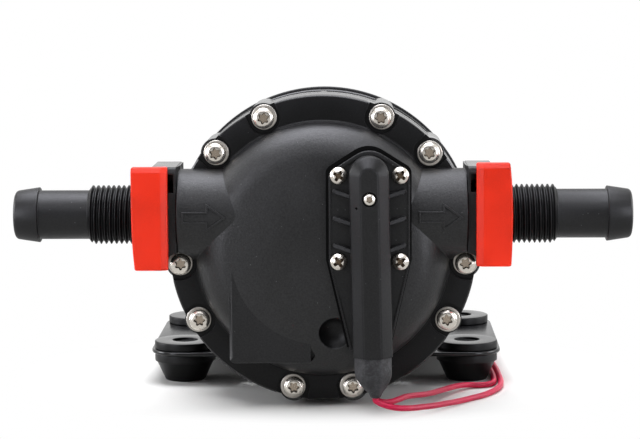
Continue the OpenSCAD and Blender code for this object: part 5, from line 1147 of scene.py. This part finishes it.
# Base plate: enamelled sheet with rolled edges, cut out in front for the drive housing
baseSet = {"low": 10.5, "high": 12, "x": 66.25, "y": 42.6, "corner": 12.6, "footHole": 8.1,
           "through": (5, 20), "edge": 0.45,
           "notch": ((35.2, -42.6, 0.6), (33.93, -35.6, 1), (32.43, -34.1, 0.6))}
n = baseSet
rim = [(-n["x"], -n["y"], n["corner"])] + [(-x, y, r) for x, y, r in n["notch"]] + list(n["notch"][::-1])
rim += [(n["x"], -n["y"], n["corner"]), (n["x"], n["y"], n["corner"]), (-n["x"], n["y"], n["corner"])]
basePlate = plate("basePlate", arcCorners(rim, 10), n["low"], n["high"])
softenEdges(basePlate, n["edge"], 3, lambda u, v: abs(u.z - v.z) < 0.01)
holes = [moved(rod("footHole", n["footHole"], *n["through"], 64), shifted(x, y))
         for x in (-footSet["x"], footSet["x"]) for y in (-footSet["y"], footSet["y"])]
combine(basePlate, joined("footHoles", holes), "DIFFERENCE")
finishPiece(basePlate, canEnamel, "pump_body", ["base_plate"], place=floorFrame)

# Motor cradle: two ribs on a pad, hollowed to the can
cradleSet = {"half": 24, "lean": 3, "base": 12, "pad": 15, "top": 32.3, "ribs": (-15.91, 28.16), "ribHalf": 6,
             "padRound": 0.5, "ribRound": 0.7, "canR": 33.05, "through": (-70, 60), "axis": 56.3}
g = cradleSet
cradle = box("motorCradle", (-g["half"], g["ribs"][0] - g["ribHalf"], g["base"]),
             (g["half"], g["ribs"][1] + g["ribHalf"], g["pad"]))
softenEdges(cradle, g["padRound"], 3, lambda u, v: max(u.z, v.z) > g["base"] + 0.1)
for y in g["ribs"]:
    rib = plate("rib", [(-g["half"], g["base"]), (g["half"], g["base"]), (g["half"] - g["lean"], g["top"]),
                        (g["lean"] - g["half"], g["top"])], -y - g["ribHalf"], g["ribHalf"] - y)
    softenEdges(rib, g["ribRound"], 3, lambda u, v: max(u.y, v.y) > g["base"] + 0.1)
    combine(cradle, moved(rib, standing), "UNION")
hollow = moved(rod("hollow", g["canR"], *g["through"], 160), shifted(0, 0, g["axis"]) @ standing)
combine(cradle, hollow, "DIFFERENCE")
finishPiece(cradle, headNylon, "pump_body", ["motor_cradle"], place=floorFrame)
print("base plate and cradle made")


# Drive housing: a ring with a grooved waist, fifteen grip ribs and the bosses of the head screws
housingSet = {"r": 54.6, "back": -26, "grooveR": 52.7, "grooveFrom": -9, "grooveTo": -21, "inner": 40,
              "ledgeR": 44.1, "ledge": -8, "ribs": 15, "ribT": 2.4, "ribRound": 0.4, "bossBack": -23}
h = housingSet
housing = lathe("driveHousing", arcCorners([
    (h["r"], 0, 0.5), (h["r"], h["grooveFrom"], 0.5), (h["grooveR"], h["grooveFrom"] - 0.3, 0.5),
    (h["grooveR"], h["grooveTo"] + 0.3, 0.5), (h["r"], h["grooveTo"], 0.5), (h["r"], h["back"], 0.4),
    (h["inner"], h["back"], 0), (h["inner"], h["ledge"], 0), (h["ledgeR"], h["ledge"], 0),
    (h["ledgeR"], 0, 0)], 4), sides=160)
extras = []
for step in range(h["ribs"]):
    rib = box("gripRib", (-h["ribT"] / 2, h["grooveR"] - 1.5, h["grooveTo"] - 0.4),
              (h["ribT"] / 2, h["r"] - 0.1, h["grooveFrom"] + 0.4))
    softenEdges(rib, h["ribRound"], 2, lambda u, v: min(u.y, v.y) > h["r"] - 0.2)
    extras.append(moved(rib, Matrix.Rotation(math.tau * step / h["ribs"], 4, "Z")))
combine(housing, joined("gripRibs", extras), "UNION")
extras = []
for angle, x, y in screwPlaces():
    boss = lathe("screwBoss", [(tiny, h["bossBack"])] + arcCorners([
        (s["bossR"], h["bossBack"], 0.8), (s["bossR"], -0.02, 0), (tiny, -0.02, 0)], 4), sides=48,
        closed=False)
    extras.append(moved(boss, shifted(x, y)))
combine(housing, joined("screwBosses", extras), "UNION")
combine(housing, rod("bearingRoom", h["inner"], -30, h["ledge"] + 0.01, 160), "DIFFERENCE")
combine(housing, rod("plateRoom", h["ledgeR"], h["ledge"], 5, 160), "DIFFERENCE")
finishPiece(housing, edgeNylon, "pump_body", ["drive_housing"], smooth=30)

# Motor adaptor: flange, cone and five stiffening webs
adaptorSet = {"lipR": 55.4, "front": -26, "flange": -30, "coneR": 39.5, "neckR": 32, "neck": -37, "back": -40,
              "roomR": 34, "wall": -34, "boreR": 11.05, "webT": 3.5, "webFrom": 28.5, "webRound": 0.5}
e = adaptorSet
adaptor = lathe("motorAdaptor", arcCorners([
    (e["boreR"], e["back"], 0), (e["neckR"], e["back"], 0.4), (e["neckR"], e["neck"], 1.2),
    (e["coneR"], e["flange"], 1.5), (e["lipR"], e["flange"], 0.7), (e["lipR"], e["front"], 0.5),
    (e["roomR"], e["front"], 0), (e["roomR"], e["wall"], 0.4), (e["boreR"], e["wall"], 0)], 4), sides=160)
extras = []
for angle in backSet["adaptorAngles"]:
    web = box("web", (-e["webT"] / 2, e["webFrom"], e["back"] + 0.02),
              (e["webT"] / 2, e["coneR"], e["flange"] + 0.5))
    softenEdges(web, e["webRound"], 2, lambda u, v: min(u.y, v.y) > e["coneR"] - 0.1
                or max(u.z, v.z) < e["back"] + 0.1)
    extras.append(moved(web, turned(-angle)))
combine(adaptor, joined("webs", extras), "UNION")
finishPiece(adaptor, headNylon, "pump_body", ["motor_adaptor"], smooth=30)
# Painted shade: the adaptor's outer lip takes the darker nylon, a dark line round the housing
for face, at, way in facesOf(adaptor, flangeAndShadeNylon):  # the outer lip draws a dark line round the housing
    onLip = math.hypot(at.x, at.y) > h["grooveR"] and at.z > e["flange"] + 0.5
    face.material_index = 1 if onLip else 0
print("drive housing and adaptor made")

# Motor can, rear cap and the grommet of the motor lead
motorSet = {"r": 33, "front": -40, "frontT": 3, "noseR": 10, "join": -118, "end": -132, "wall": 2.5,
            "capT": 3, "capRound": 5, "groove": (3.2, 3.5, 4.5, 4.8), "grooveDeep": 0.45, "boltSink": 3.75,
            "leadHole": 3.4}
grommetSet = {"at": (10.5, -18.19), "boreR": 1.05, "lipR": 4.5, "neckR": 3.35, "back": -133.6,
              "capBack": -132.02, "capFront": -128.98, "front": -127.4}
m, t = motorSet, grommetSet
grooveR, innerR, inFront = m["r"] - m["grooveDeep"], m["r"] - m["wall"], m["front"] - m["frontT"]
grooveZ = [m["join"] + z for z in m["groove"]]
can = lathe("motorCan", arcCorners([
    (m["r"], m["join"], 0.3), (m["r"], grooveZ[0], 0.2), (grooveR, grooveZ[1], 0.2),
    (grooveR, grooveZ[2], 0.2), (m["r"], grooveZ[3], 0.2), (m["r"], m["front"], 1.8),
    (m["noseR"], m["front"], 0), (m["noseR"], inFront, 0), (innerR, inFront, 0.5),
    (innerR, m["join"], 0)], 5), sides=160)
finishPiece(can, canEnamel, "pump_body", ["motor_can"], smooth=30)
capFront, capIn = m["join"] - 0.05, m["end"] + m["capT"]
cap = lathe("motorEndCap", [(tiny, m["end"])] + arcCorners([
    (m["r"], m["end"], m["capRound"]), (m["r"], capFront, 0.4), (innerR, capFront, 0),
    (innerR, capIn, 1), (tiny, capIn, 0)], 8), sides=160, closed=False)
holes = [moved(rod("boltSink", m["boltSink"] * backSet["boltSize"], m["end"] - 1, backSet["boltZ"], 48),
               shifted(flip * backSet["boltR"], 0)) for flip in (-1, 1)]
holes.append(moved(rod("leadHole", m["leadHole"], m["end"] - 1, m["end"] + 5, 48), shifted(*t["at"])))
combine(cap, joined("capCuts", holes), "DIFFERENCE")
finishPiece(cap, headNylon, "pump_body", ["motor_end_cap"], smooth=30)
grommet = lathe("leadGrommet", arcCorners([
    (t["boreR"], t["back"], 0.2), (t["lipR"], t["back"], 0.7), (t["lipR"], t["capBack"], 0.2),
    (t["neckR"], t["capBack"], 0), (t["neckR"], t["capFront"], 0), (t["lipR"], t["capFront"], 0.2),
    (t["lipR"], t["front"], 0.4), (t["boreR"], t["front"], 0)], 4), sides=64)
finishPiece(moved(grommet, shifted(*t["at"])), footRubber, "pump_body", ["lead_grommet"])
print("motor dressed")


# Nodes whose solids are right as they are get their finish
finishes = {
    coverAbs: ["microswitch"],
    clipAbs: ["microswitch_button"],
    whiteAcetal: ["valve_plate", "pistons", "switch_plunger", "wobble_plate"],
    footRubber: ["head_seal", "inlet_valves", "outlet_valve", "diaphragm", "inlet_seal_ring",
                 "outlet_seal_ring"],
    stainless: ["motor_screws", "cradle_screws", "piston_screws", "cam_set_screw", "switch_spring"],
    bearingSteel: ["wobble_bearing_outer", "wobble_bearing_balls", "wobble_bearing_inner",
                   "shaft_bearing_outer", "shaft_bearing_balls", "shaft_bearing_inner", "motor_shaft"],
    hubSteel: ["cam_hub"], coreSteel: ["armature_core"], copperWire: ["armature_windings", "commutator"],
    sinterBronze: ["rear_bush", "brush_springs"], ferrite: ["magnets"], carbon: ["brushes"],
    laminate: ["brush_holder"]}
for material, names in finishes.items():
    for name in names:
        solid = cadNodes[name]
        solid.data.materials.clear()
        solid.data.materials.append(material)
print("solids finished")
